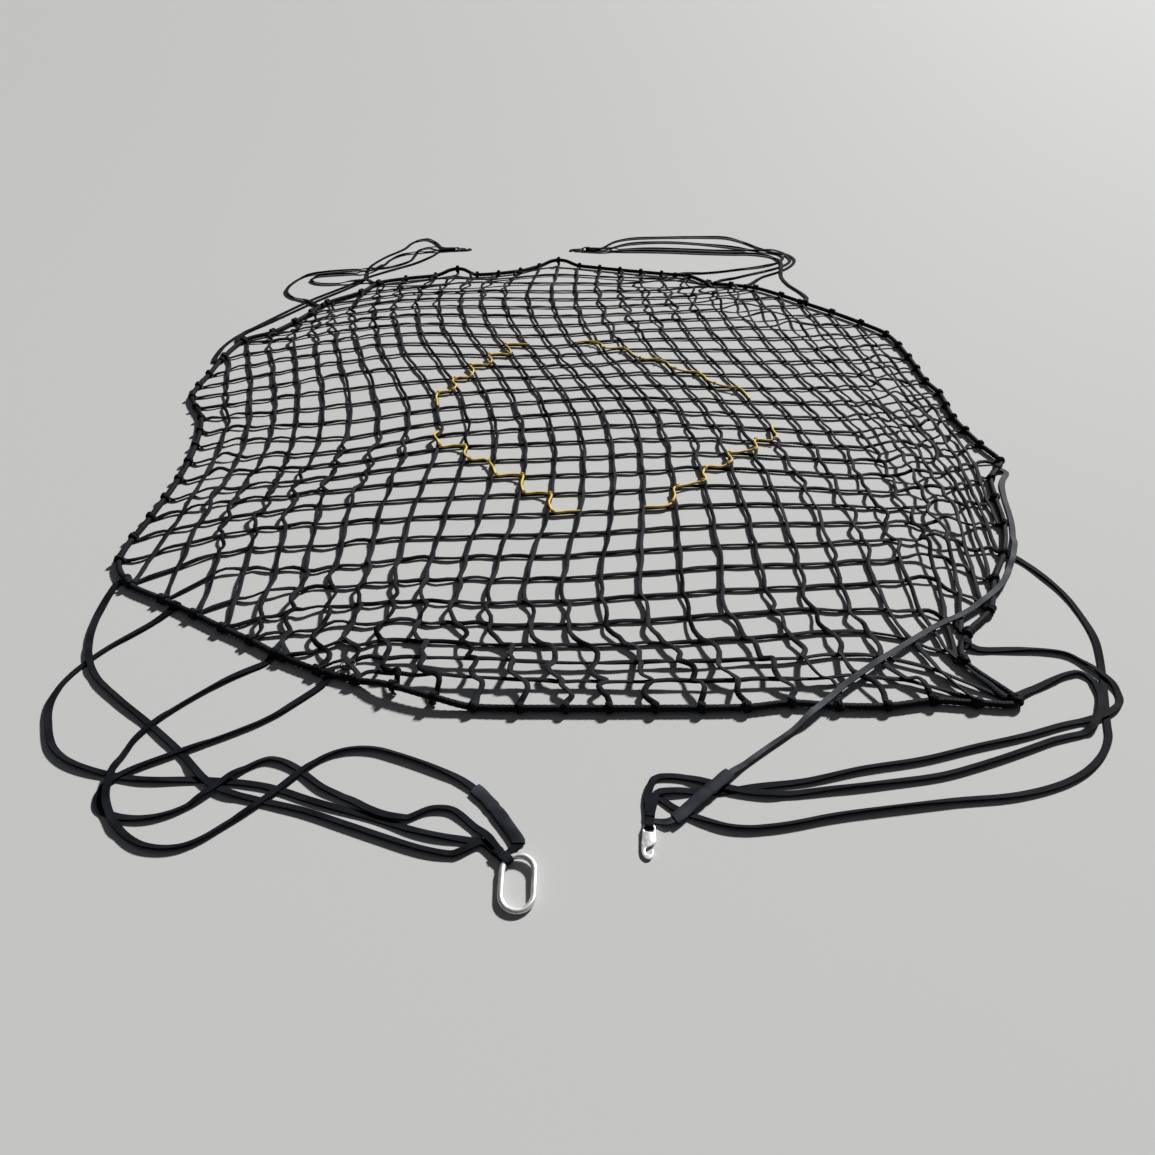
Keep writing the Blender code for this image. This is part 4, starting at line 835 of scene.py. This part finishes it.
def strap_line(strap, laid):
    """A strap's centre line through its places and heights. Its end gathers towards the eye and into it."""
    plan, high = laid[strap.name]
    _, ahead, left = leg_frame(strap.leg)
    end = np.append(plan[-1] + TIE_AHEAD * ahead, high[-1])
    line = ease_through(np.vstack([np.column_stack([plan, high]), end]), 0.012)
    run = run_of(line)
    share = np.clip((run - run[-1] + GATHER_LONG) / GATHER_LONG, 0, 1)
    line[:, :2] -= np.outer(GATHER_SHARE * strap.lateral * share**2 * (3 - 2 * share), left)
    line[:, 2] = np.maximum(line[:, 2], 0.5 * STRAP_THICK)
    return line


def strap_course(strap, laid, seed):
    """A strap's centre line and roll: flat by other pieces and at its ends, and leaning up between."""
    line = strap_line(strap, laid)
    run = run_of(line)
    others = [rope_line(np.linspace(0, ROUND, 700))]
    others += [strap_line(other, laid) for other in STRAPS if other is not strap]
    itself = away_from(line, line)
    itself[np.abs(run[:, None] - run[None, :]) < SAME_RUN] = 1.0
    away = np.minimum(away_from(line, np.vstack(others)).min(axis=1), itself.min(axis=1))
    free = np.clip((away - EDGE_CLEAR[0]) / (EDGE_CLEAR[1] - EDGE_CLEAR[0]), 0, 1)
    free *= np.clip((np.minimum(run, run[-1] - run) - END_FLAT) / END_EASE, 0, 1)
    in_sleeve = np.array(SLEEVES.get(strap.name, (0, 0))) * run[-1]
    on_net = (0, OVER_NET.get(strap.name, (0, 0))[1])
    for first, last in (in_sleeve, on_net):
        free *= 1 - ((run > first - TUBE_FLAT) & (run < last + TUBE_FLAT))
    free = smooth(smooth(free, 5), 5)
    stand = 0.72 + drift(run, seed + 30, 0.28, 0.28)
    across = unit(np.gradient(line[:, :2], axis=0))[:, 0]
    roll = EDGE_ROLL * free * (0.12 * drift(run, seed, 0.22, 1.0) - stand * np.tanh(2.5 * across))
    half = 0.5 * (STRAP_WIDE * np.abs(np.sin(roll)) + STRAP_THICK * np.abs(np.cos(roll)))
    line[:, 2] = np.maximum(line[:, 2], half)
    return line, roll


def strap_grid(line, roll):
    """A strap's skin, wider and thicker where it is doubled, and drawn in at its eye."""
    run = run_of(line)
    doubled = 1 / (1 + np.exp((run - SEWN_LONG) / SEWN_EASE))
    narrow = np.clip((run - run[-1] + NARROW_LONG) / NARROW_LONG, 0, 1)
    return carry(line, webbing_profile(STRAP_WIDE, STRAP_THICK), wide=1 + 0.16 * doubled - 0.3 * narrow,
                 high=1 + 0.3 * doubled, roll=roll)


def band_grids():
    """The band by which each strap holds the rope: centre + r (cos t N + sin t Z), pressed flat below."""
    turn = np.linspace(0, 2 * np.pi, 32, endpoint=False)
    for strap in STRAPS:
        spot, normal, _ = rope_side(strap.step)
        centre = np.append(spot - normal * (FLAT + APART), rope_line(np.array([strap.step]))[0, 2])
        line = centre + (ROPE_ROUND + BAND_OFF) * upright(normal, turn)
        line[:, 2] = np.maximum(line[:, 2], 0.0028)
        yield carry(line, webbing_profile(BAND_WIDE, BAND_THICK), closed=True, side=level(leftward(normal)))


def sleeve_grid(line, share, seed):
    """A flattened tube round a strap: its outside there and its inside back, with shallow wrinkles."""
    run = run_of(line)
    at = np.linspace(share[0] * run[-1], share[1] * run[-1], 60)
    middle = sample(line, run, at)
    thick = STRAP_THICK + 2 * (SLEEVE_GAP + SLEEVE_WALL)
    wrinkle = 1 + drift(at - at[0], seed, 0.018, 0.06)
    outer, inner = (carry(middle, oval(SLEEVE_WIDE - cut, thick - cut, 24, 2.8), wide=wrinkle, high=wrinkle)
                    for cut in (0.0, 0.004))
    return np.vstack([outer, inner[::-1]])


def eye_grids(leg, bar_radius, bar_height, tail_height):
    """The stitched eye: a band from the strap ends over the bar and back below, the sewn ends between, and
    the tie round both, which alone is a closed loop."""
    origin, ahead, left = leg_frame(leg)
    reach = bar_radius + 0.5 * EYE_WALL + EYE_GAP
    turn = np.radians(np.linspace(-96, 96, 21))
    low, high = 0.5 * EYE_WALL + APART, tail_height - 0.5 * EYE_WALL
    out = np.linspace(0.001, EYE_LAP * EYE_LONG, 9)
    far = np.concatenate([out, EYE_LONG + reach * np.cos(turn), out[::-1]])
    up = np.concatenate([np.full(9, low), bar_height + reach * np.sin(turn), np.full(9, high)])
    path = np.column_stack([origin + far[:, None] * ahead, np.maximum(up, low)])
    band = carry(path, webbing_profile(EYE_WIDE, EYE_WALL), side=-level(left))
    at = np.linspace(0.0015, EYE_SEWN * EYE_LONG, 12)
    core = np.column_stack([origin + at[:, None] * ahead, np.full(12, 0.5 * (low + high))])
    thick = (high - low) * (1 - 0.55 * (at / at[-1]) ** 3)
    sewn = carry(core, oval(EYE_WIDE - 0.003, 1.0, 16, 6), high=thick)
    box = oval(EYE_WIDE + 0.002, tail_height + 0.001, 40, 8, start=0)
    middle = np.append(origin + TIE_AHEAD * ahead, 0.5 * tail_height + 0.0012)
    line = middle + np.outer(box[:, 0], level(left)) + np.outer(box[:, 1], UP)
    line[:, 2] = np.maximum(line[:, 2], 0.0012)
    return band, sewn, carry(line, oval(0.012, 0.0018, 8, 4), closed=True, side=level(ahead))


def ring_grid(centre, long_half, wide_half, wire, heights):
    """A racetrack of round wire: radius r about two centres, with the height running evenly along it."""
    radius, straight = wide_half - wire, long_half - wide_half
    turn = (np.arange(96) + 0.5) * 2 * np.pi / 96
    y = radius * np.sin(turn) + np.where(np.sin(turn) > 0, straight, -straight)
    share = 0.5 + 0.5 * y / (long_half - wire)
    line = np.column_stack([centre[0] + radius * np.cos(turn), centre[1] + y,
                            heights[1] + (heights[0] - heights[1]) * share])
    return carry(line, oval(2 * wire, 2 * wire, 20), closed=True)


def rounded(outline, steps, ease):
    """A closed curve through a polygon's middles and corners: quadratic arcs that cut each corner by ease."""
    ring = np.array(outline)[:, None]
    before, after = (ring + (np.roll(ring, shift, axis=0) - ring) * ease for shift in (1, -1))
    t = (np.arange(steps) / (steps - 1))[None, :, None]
    return ((1 - t) ** 2 * before + 2 * t * (1 - t) * ring + t**2 * after).reshape(-1, 2)


def turning(ring):
    """1 for a closed ring that turns left, -1 for one that turns right: the sign of its area."""
    after = np.roll(ring, -1, axis=0)
    return int(np.sign(np.sum(ring[:, 0] * after[:, 1] - after[:, 0] * ring[:, 1])))


def plate_mesh(outline, hole, thick, bevel):
    """A plate with a hole, as points and faces: two flat faces joined by an edge that eases in by bevel."""
    lower = [(-0.5 * thick, bevel), (-0.5 * thick + 0.3 * bevel, 0.3 * bevel), (-0.5 * thick + bevel, 0.0)]
    levels = lower + [(-high, cut) for high, cut in reversed(lower)]
    rings, faces, lows, tops = [], [], [], []
    base = 0
    for loop in (outline[::turning(outline)], hole[::-turning(hole)]):
        n = len(loop)
        i = np.arange(n)
        inward = leftward(round_heading(loop))
        rings += [np.column_stack([loop + cut * inward, np.full(n, high)]) for high, cut in levels]
        for low in base + n * np.arange(len(levels) - 1):
            faces.append(low + np.stack([i, (i + 1) % n, n + (i + 1) % n, n + i], axis=1))
        lows.append(base + i)
        base += len(levels) * n
        tops.append(base - n + i)
    points = np.vstack(rings)
    caps = np.array(tessellate_polygon([points[top].tolist() for top in tops]))
    lows, tops = np.concatenate(lows), np.concatenate(tops)
    a, b, c = points[tops[caps], :2].transpose(1, 0, 2)
    wrong = np.cross(b - a, c - a) < 0
    caps = np.where(wrong[:, None], caps[:, ::-1], caps)
    faces += [tops[caps], lows[caps][:, ::-1]]
    return points, [tuple(face) for part in faces for face in part]


def hook_mesh(leg):
    """A flat plate hook whose slot bar sits in the leg's eye and whose tip rests on the ground."""
    outline, slot = rounded(HOOK_OUTLINE, 6, 0.42), rounded(HOOK_SLOT, 6, 0.28)
    points, faces = plate_mesh(outline, slot, HOOK_THICK, 0.0012)
    origin, ahead, left = leg_frame(leg)
    fall = (HOOK_BAR_HIGH - 0.5 * HOOK_THICK) / HOOK_LONG
    plan = origin + (EYE_LONG + points[:, 1:2]) * ahead - points[:, 0:1] * left
    points = np.column_stack([plan, HOOK_BAR_HIGH - fall * points[:, 1] + points[:, 2]])
    mesh = bpy.data.meshes.new("hook_" + leg)
    mesh.from_pydata((points - MIDDLE).tolist(), [], faces)
    return mesh


def wired(tree, kind, inputs=None, **settings):
    """A new node in a tree with its settings, each of its inputs given as a value or linked from a socket."""
    node = tree.nodes.new(kind)
    for label, value in settings.items():
        setattr(node, label, value)
    for label, given in (inputs or {}).items():
        if isinstance(given, bpy.types.NodeSocket):
            tree.links.new(given, node.inputs[label])
        else:
            node.inputs[label].default_value = given
    return node


def node_group(name, inputs, outputs):
    """A shader node group that takes a place and named floats: its inputs, its outputs, and makers for a
    math node and for the three parts of a vector."""
    group = bpy.data.node_groups.new(name, "ShaderNodeTree")
    group.interface.new_socket(name="Place", in_out="INPUT", socket_type="NodeSocketVector")
    for label, value in inputs.items():
        socket = group.interface.new_socket(name=label, in_out="INPUT", socket_type="NodeSocketFloat")
        socket.default_value = value
    for label in outputs:
        group.interface.new_socket(name=label, in_out="OUTPUT", socket_type="NodeSocketFloat")
    start, end = group.nodes.new("NodeGroupInput"), group.nodes.new("NodeGroupOutput")

    def calc(operation, *given):
        return wired(group, "ShaderNodeMath", dict(enumerate(given)), operation=operation).outputs[0]

    def parts(vector):
        return wired(group, "ShaderNodeSeparateXYZ", {0: vector}).outputs

    return group, start.outputs, end.inputs, calc, parts


def braid_group():
    """Braided cord: height = |sin pi a| |sin pi b| with a, b = along / pitch +- strands around, and a painted
    shade mask for the gaps between strands.
    """
    group, given, out, calc, parts = node_group("Braid", {"Pitch": 0.01, "Strands": 4.0}, ["Height", "GapShade"])
    place = parts(given["Place"])
    along = calc("DIVIDE", place[0], given["Pitch"])
    around = calc("MULTIPLY", place[1], given["Strands"])
    height = calc("MULTIPLY", *(
        calc("ABSOLUTE", calc("SINE", calc("MULTIPLY", calc(sign, along, around), np.pi)))
        for sign in ("ADD", "SUBTRACT")))
    group.links.new(height, out["Height"])
    # Painted shade in the gaps between strands
    group.links.new(calc("POWER", calc("SUBTRACT", 1.0, height), 3.0), out["GapShade"])
    return group


def weave_group():
    """Webbing: rows of ribs, each height = (0.5 + 0.5 cos(2 pi along / pitch)) sqrt |sin pi around|, with
    every other row shifted by half a rib, and a painted shade mask for the gaps between ribs."""
    group, given, out, calc, parts = node_group("Weave", {"Pitch": 0.004, "Rows": 24.0}, ["Height", "GapShade"])
    place = parts(given["Place"])
    around = calc("MULTIPLY", place[1], given["Rows"])
    shifted = calc("MULTIPLY", calc("FLOOR", around), 0.5)
    along = calc("ADD", calc("DIVIDE", place[0], given["Pitch"]), shifted)
    rib = calc("MULTIPLY_ADD", calc("COSINE", calc("MULTIPLY", along, 2 * np.pi)), 0.5, 0.5)
    row = calc("ABSOLUTE", calc("SINE", calc("MULTIPLY", around, np.pi)))
    height = calc("MULTIPLY", rib, calc("POWER", row, 0.5))
    group.links.new(height, out["Height"])
    # Painted shade in the gaps between ribs
    group.links.new(calc("POWER", calc("SUBTRACT", 1.0, height), 2.0), out["GapShade"])
    return group


def fading_and_top_light_group():
    """Faded patches and painted top light: noise on the object's place, sharpened, and stronger on faces that
    look up, which paints a highlight on top faces.
    """
    group, given, out, calc, parts = node_group("Fading", {"Size": 8.0, "Upwards": 0.7}, ["Mask"])
    noise = wired(group, "ShaderNodeTexNoise",
                  {"Detail": 4.0, "Vector": given["Place"], "Scale": given["Size"]})
    normal = parts(wired(group, "ShaderNodeNewGeometry").outputs["Normal"])
    # Painted highlight: faces that look up take more of the pale colour
    up = calc("MULTIPLY", calc("POWER", calc("MAXIMUM", normal[2], 0.0), 2.0), given["Upwards"])
    patch = wired(group, "ShaderNodeMapRange",
                  {"From Min": 0.38, "From Max": 0.66, "Value": noise.outputs["Fac"]}).outputs[0]
    group.links.new(calc("MULTIPLY", patch, calc("ADD", up, 0.1)), out["Mask"])
    return group


def shared(name):
    """The shader node group of that name, made at its first use."""
    makers = {"Braid": braid_group, "Weave": weave_group, "Fading": fading_and_top_light_group}
    return bpy.data.node_groups.get(name) or makers[name]()


def plain_material(name):
    """A new material, its node tree and its shader node."""
    material = bpy.data.materials.new(name)
    material.use_nodes = True
    return material, material.node_tree, material.node_tree.nodes["Principled BSDF"]


def finish_of(name, deep=None, pale=None):
    """One of FINISHES: the unfaded and the pale colour mixed by faded patches and by a painted highlight on
    faces that look up, darkened by painted shade in the pattern's gaps and raised by the pattern. The colours
    may be given instead."""
    finish = FINISHES[name]
    material, tree, shader = plain_material(name)
    shader.inputs["Metallic"].default_value = finish.metallic
    shader.inputs["Specular IOR Level"].default_value = finish.shine
    shader.inputs["Sheen Weight"].default_value = finish.sheen
    shader.inputs["Sheen Roughness"].default_value = 0.4
    place = wired(tree, "ShaderNodeTexCoord").outputs
    # Mask of faded patches and of the painted highlight on faces that look up; it also roughens
    mask = wired(tree, "ShaderNodeGroup", {"Size": finish.fading, "Place": place["Object"]},
                 node_tree=shared("Fading")).outputs["Mask"]
    mix = {0: mask, 6: (*(deep or finish.deep), 1), 7: (*(pale or finish.pale), 1)}
    colour = wired(tree, "ShaderNodeMix", mix, data_type="RGBA").outputs[2]
    rough = wired(tree, "ShaderNodeMath", {0: mask, 1: 0.2, 2: finish.roughness}, operation="MULTIPLY_ADD")
    tree.links.new(rough.outputs[0], shader.inputs["Roughness"])
    if finish.pattern:
        surface = {"Pitch": finish.pitch, 2: finish.strands, "Place": place["UV"]}
        surface = wired(tree, "ShaderNodeGroup", surface, node_tree=shared(finish.pattern)).outputs
        # Painted shade: the pattern's gaps are darkened in the colour
        shade = {0: surface["GapShade"], 6: colour, 7: (0.35, 0.35, 0.35, 1)}
        colour = wired(tree, "ShaderNodeMix", shade, data_type="RGBA", blend_type="MULTIPLY").outputs[2]
        bump = {"Strength": 0.7, "Distance": finish.depth, "Height": surface["Height"]}
        tree.links.new(wired(tree, "ShaderNodeBump", bump).outputs["Normal"], shader.inputs["Normal"])
    tree.links.new(colour, shader.inputs["Base Color"])
    return material


class CargoNetSizes(bpy.types.PropertyGroup):
    """The sizes that a user would change"""

    cord_width: bpy.props.FloatProperty(
        name="Cord width", description="Width of the net's braided cord", default=BRAID_WIDE, unit="LENGTH")
    rope_radius: bpy.props.FloatProperty(
        name="Rope radius", description="Radius of the border rope", default=ROPE_ROUND, unit="LENGTH")
    marker_width: bpy.props.FloatProperty(
        name="Marker cord width", description="Width of the yellow marker cords", default=MARKER_WIDE,
        unit="LENGTH")
    sun_height: bpy.props.FloatProperty(
        name="Light height", description="Height of the light over the horizon", default=SUN_HEIGHT,
        subtype="ANGLE")


def colour_property(name, description, value):
    """A colour that a user would change."""
    return bpy.props.FloatVectorProperty(name=name, description=description, default=value, size=3,
                                         subtype="COLOR", min=0, max=1)


class CargoNetColours(bpy.types.PropertyGroup):
    """The colours that a user would change"""

    cord: colour_property("Net cord", "Unfaded colour of the net's cords", FINISHES["net_cord"].deep)
    # The pale colour of the cords is also their painted highlight on faces that look up
    cord_faded_and_top_lit: colour_property("Faded and top-lit cord", "Faded colour of the net's cords", FINISHES["net_cord"].pale)
    rope: colour_property("Rope", "Unfaded colour of the border rope", FINISHES["rope"].deep)
    webbing: colour_property("Webbing", "Unfaded colour of the straps", FINISHES["webbing"].deep)
    sleeve: colour_property("Sleeve", "Colour of the grey sleeves", FINISHES["grey_webbing"].deep)
    marker: colour_property("Marker cord", "Colour of the marker cords", FINISHES["marker_cord"].deep)
    floor: colour_property("Floor", "Colour of the floor", (0.50, 0.50, 0.49))


class CARGONET_OT_stage(bpy.types.Operator):
    """Puts down the camera, the floor and the soft light"""

    bl_idname = "cargonet.stage"
    bl_label = "Camera, floor and light"

    def execute(self, context):
        scene = context.scene
        lens = bpy.data.cameras.new("camera")
        lens.sensor_width = SENSOR_SIDE
        lens.lens = FOCAL_PIXELS / PHOTO_SIDE * SENSOR_SIDE
        camera = put_down("camera", lens)
        camera.location = CAMERA_PLACE
        camera.rotation_euler = (np.radians(90 - CAMERA_TILT), 0, 0)
        scene.camera = camera
        scene.view_settings.view_transform = "Standard"
        ground = bpy.data.meshes.new("floor")
        ground.from_pydata(FLOOR, [], [(0, 1, 2, 3)])
        material, _, shader = plain_material("floor")
        shader.inputs["Base Color"].default_value = (*scene.cargo_net_colours.floor, 1)
        shader.inputs["Roughness"].default_value = 0.9
        ground.materials.append(material)
        floor = put_down("floor", ground)
        light = bpy.data.lights.new("sun", "SUN")
        light.energy, light.angle = SUN_POWER, SUN_SPREAD
        sun = put_down("sun", light)
        sun.rotation_euler = (np.radians(90) - scene.cargo_net_sizes.sun_height, 0, SUN_BEARING)
        soft = bpy.data.lights.new("sky_panel", "AREA")
        soft.energy, soft.size = PANEL_POWER, PANEL_SIDE
        panel = put_down("sky_panel", soft)
        panel.location = PANEL_PLACE
        world = scene.world or bpy.data.worlds.new("world")
        scene.world = world
        world.use_nodes = True
        sky = world.node_tree.nodes["Background"].inputs
        sky[0].default_value, sky[1].default_value = SKY_COLOUR, SKY_POWER
        return {"FINISHED"}


class CARGONET_OT_straps(bpy.types.Operator):
    """Lays the sixteen lifting straps, their bands round the rope, and the stitched eyes they end in"""

    bl_idname = "cargonet.straps"
    bl_label = "Lifting straps and eyes"

    def execute(self, context):
        laid = lay_straps()
        plain = finish_of("webbing", context.scene.cargo_net_colours.webbing)
        worn = finish_of("worn_webbing")
        tails = {}
        for strap in STRAPS:
            top = laid[strap.name][1][-1] + 0.5 * STRAP_THICK
            tails[strap.leg] = max(tails.get(strap.leg, 0.0), top)
        for leg in ("front_left", "front_right", "back_left", "back_right"):
            bar = (RING_WIRE, RING_BAR_HIGH) if leg == "front_left" else (HOOK_BAR_RADIUS, HOOK_BAR_HIGH)
            band, sewn, tie = eye_grids(leg, *bar, tails[leg])
            skein = Skein([band, sewn])
            skein.add(tie, closed=True)
            skein.make("eye_" + leg + "_sewn", plain, "webbing", ("eye_" + leg,))
        for number, strap in enumerate(STRAPS):
            line, roll = strap_course(strap, laid, number + 1)
            skein = Skein([strap_grid(line, roll)])
            material = worn if strap.name == "strap_front_right_1" else plain
            made = skein.make(strap.name + "_laid", material, "webbing", (strap.name,))
            path = line - MIDDLE
            tuple(path[0])
            float(run_of(path)[-1])
            [tuple(p) for p in path]
        Skein(band_grids(), closed=True).make("strap_bands", plain, "webbing")
        return {"FINISHED"}


class CARGONET_OT_net(bpy.types.Operator):
    """Lays the net, its border rope and lashings, and the yellow marker cords"""

    bl_idname = "cargonet.net"
    bl_label = "Net, border rope and marker cords"

    def execute(self, context):
        sizes, colours = context.scene.cargo_net_sizes, context.scene.cargo_net_colours
        cords = net_cords()
        laid = lay_straps()
        over = [strap_line(strap, laid) for strap in STRAPS if strap.name in OVER_NET]
        skein = Skein()
        for seed, ((kind, _), (line, spot)) in enumerate(cords.items()):
            for strap in over:
                line = press_under(line, strap)
            skein.add(cord_grid(line, spot, seed, sizes.cord_width, kind == COLUMN))
        braid = finish_of("net_cord", colours.cord, colours.cord_faded_and_top_lit)
        net = skein.make("net_laid", braid, "net_cord", ("net_mesh",))
        rope = Skein([rope_grid(sizes.rope_radius)], closed=True).make(
            "border_rope_laid", finish_of("rope", colours.rope), "rope", ("border_rope",))
        ties = Skein(lashing_grids()).make("lashings", braid, "net_cord")
        markers = Skein(marker_grids(cords, sizes.marker_width)).make(
            "marker_cords", finish_of("marker_cord", colours.marker))
        return {"FINISHED"}


class CARGONET_OT_sleeves(bpy.types.Operator):
    """Puts the two grey sleeves round their straps"""

    bl_idname = "cargonet.sleeves"
    bl_label = "Grey sleeves"

    def execute(self, context):
        laid = lay_straps()
        grey = finish_of("grey_webbing", context.scene.cargo_net_colours.sleeve)
        for strap in STRAPS:
            if strap.name in SLEEVES:
                name = strap.name.replace("strap", "sleeve")
                grid = sleeve_grid(strap_line(strap, laid), SLEEVES[strap.name], 7)
                Skein([grid], closed=True).make(name + "_slid_on", grey, "grey_webbing", (name,))
        return {"FINISHED"}


class CARGONET_OT_fittings(bpy.types.Operator):
    """Forms the lifting ring, the three plate hooks and the small ring"""

    bl_idname = "cargonet.fittings"
    bl_label = "Ring and hooks"

    def execute(self, context):
        steels = {name: finish_of(name) for name in ("bright_steel", "dark_steel")}
        for name, steel, *sizes in (
                ("lifting_ring", "bright_steel", RING_CENTRE, RING_LONG, RING_WIDE, RING_WIRE, RING_HEIGHTS),
                ("small_ring", "dark_steel", SMALL_RING[:2], 0.030, 0.0299, 0.0045, SMALL_RING[2:] * 2)):
            Skein([ring_grid(*sizes)], closed=True).make(name + "_forged", steels[steel], steel, (name,))
        for leg in ("front_right", "back_left", "back_right"):
            steel = "bright_steel" if leg == "front_right" else "dark_steel"
            name, mesh = "hook_" + leg, hook_mesh(leg)
            settle(name + "_cut", mesh, steels[steel], PLATE_CREASE, steel, (name,))
        return {"FINISHED"}


class CARGONET_PT_panel(bpy.types.Panel):
    """The net's pieces in the order in which they are made"""

    bl_label = "Cargo net"
    bl_idname = "CARGONET_PT_panel"
    bl_space_type = "VIEW_3D"
    bl_region_type = "UI"
    bl_category = "Cargo net"

    def draw(self, context):
        for group in (context.scene.cargo_net_sizes, context.scene.cargo_net_colours):
            for name in group.bl_rna.properties.keys():
                if name not in ("rna_type", "name"):
                    self.layout.prop(group, name)
        for operator in OPERATORS:
            self.layout.operator(operator.bl_idname)


OPERATORS = (CARGONET_OT_stage, CARGONET_OT_straps, CARGONET_OT_net, CARGONET_OT_sleeves,
             CARGONET_OT_fittings)
CLASSES = (CargoNetSizes, CargoNetColours, *OPERATORS, CARGONET_PT_panel)


def register():
    """Registers the classes and hangs the sizes and colours on the scene."""
    for each in CLASSES:
        bpy.utils.register_class(each)
    bpy.types.Scene.cargo_net_sizes = bpy.props.PointerProperty(type=CargoNetSizes)
    bpy.types.Scene.cargo_net_colours = bpy.props.PointerProperty(type=CargoNetColours)


def unregister():
    """Takes the sizes, the colours and the classes away again."""
    del bpy.types.Scene.cargo_net_colours
    del bpy.types.Scene.cargo_net_sizes
    for each in reversed(CLASSES):
        bpy.utils.unregister_class(each)


def main():
    """Makes the stage and every piece."""
    register()
    bpy.ops.cargonet.stage()
    bpy.ops.cargonet.straps()
    bpy.ops.cargonet.net()
    bpy.ops.cargonet.sleeves()
    bpy.ops.cargonet.fittings()


if __name__ == "__main__":
    main()
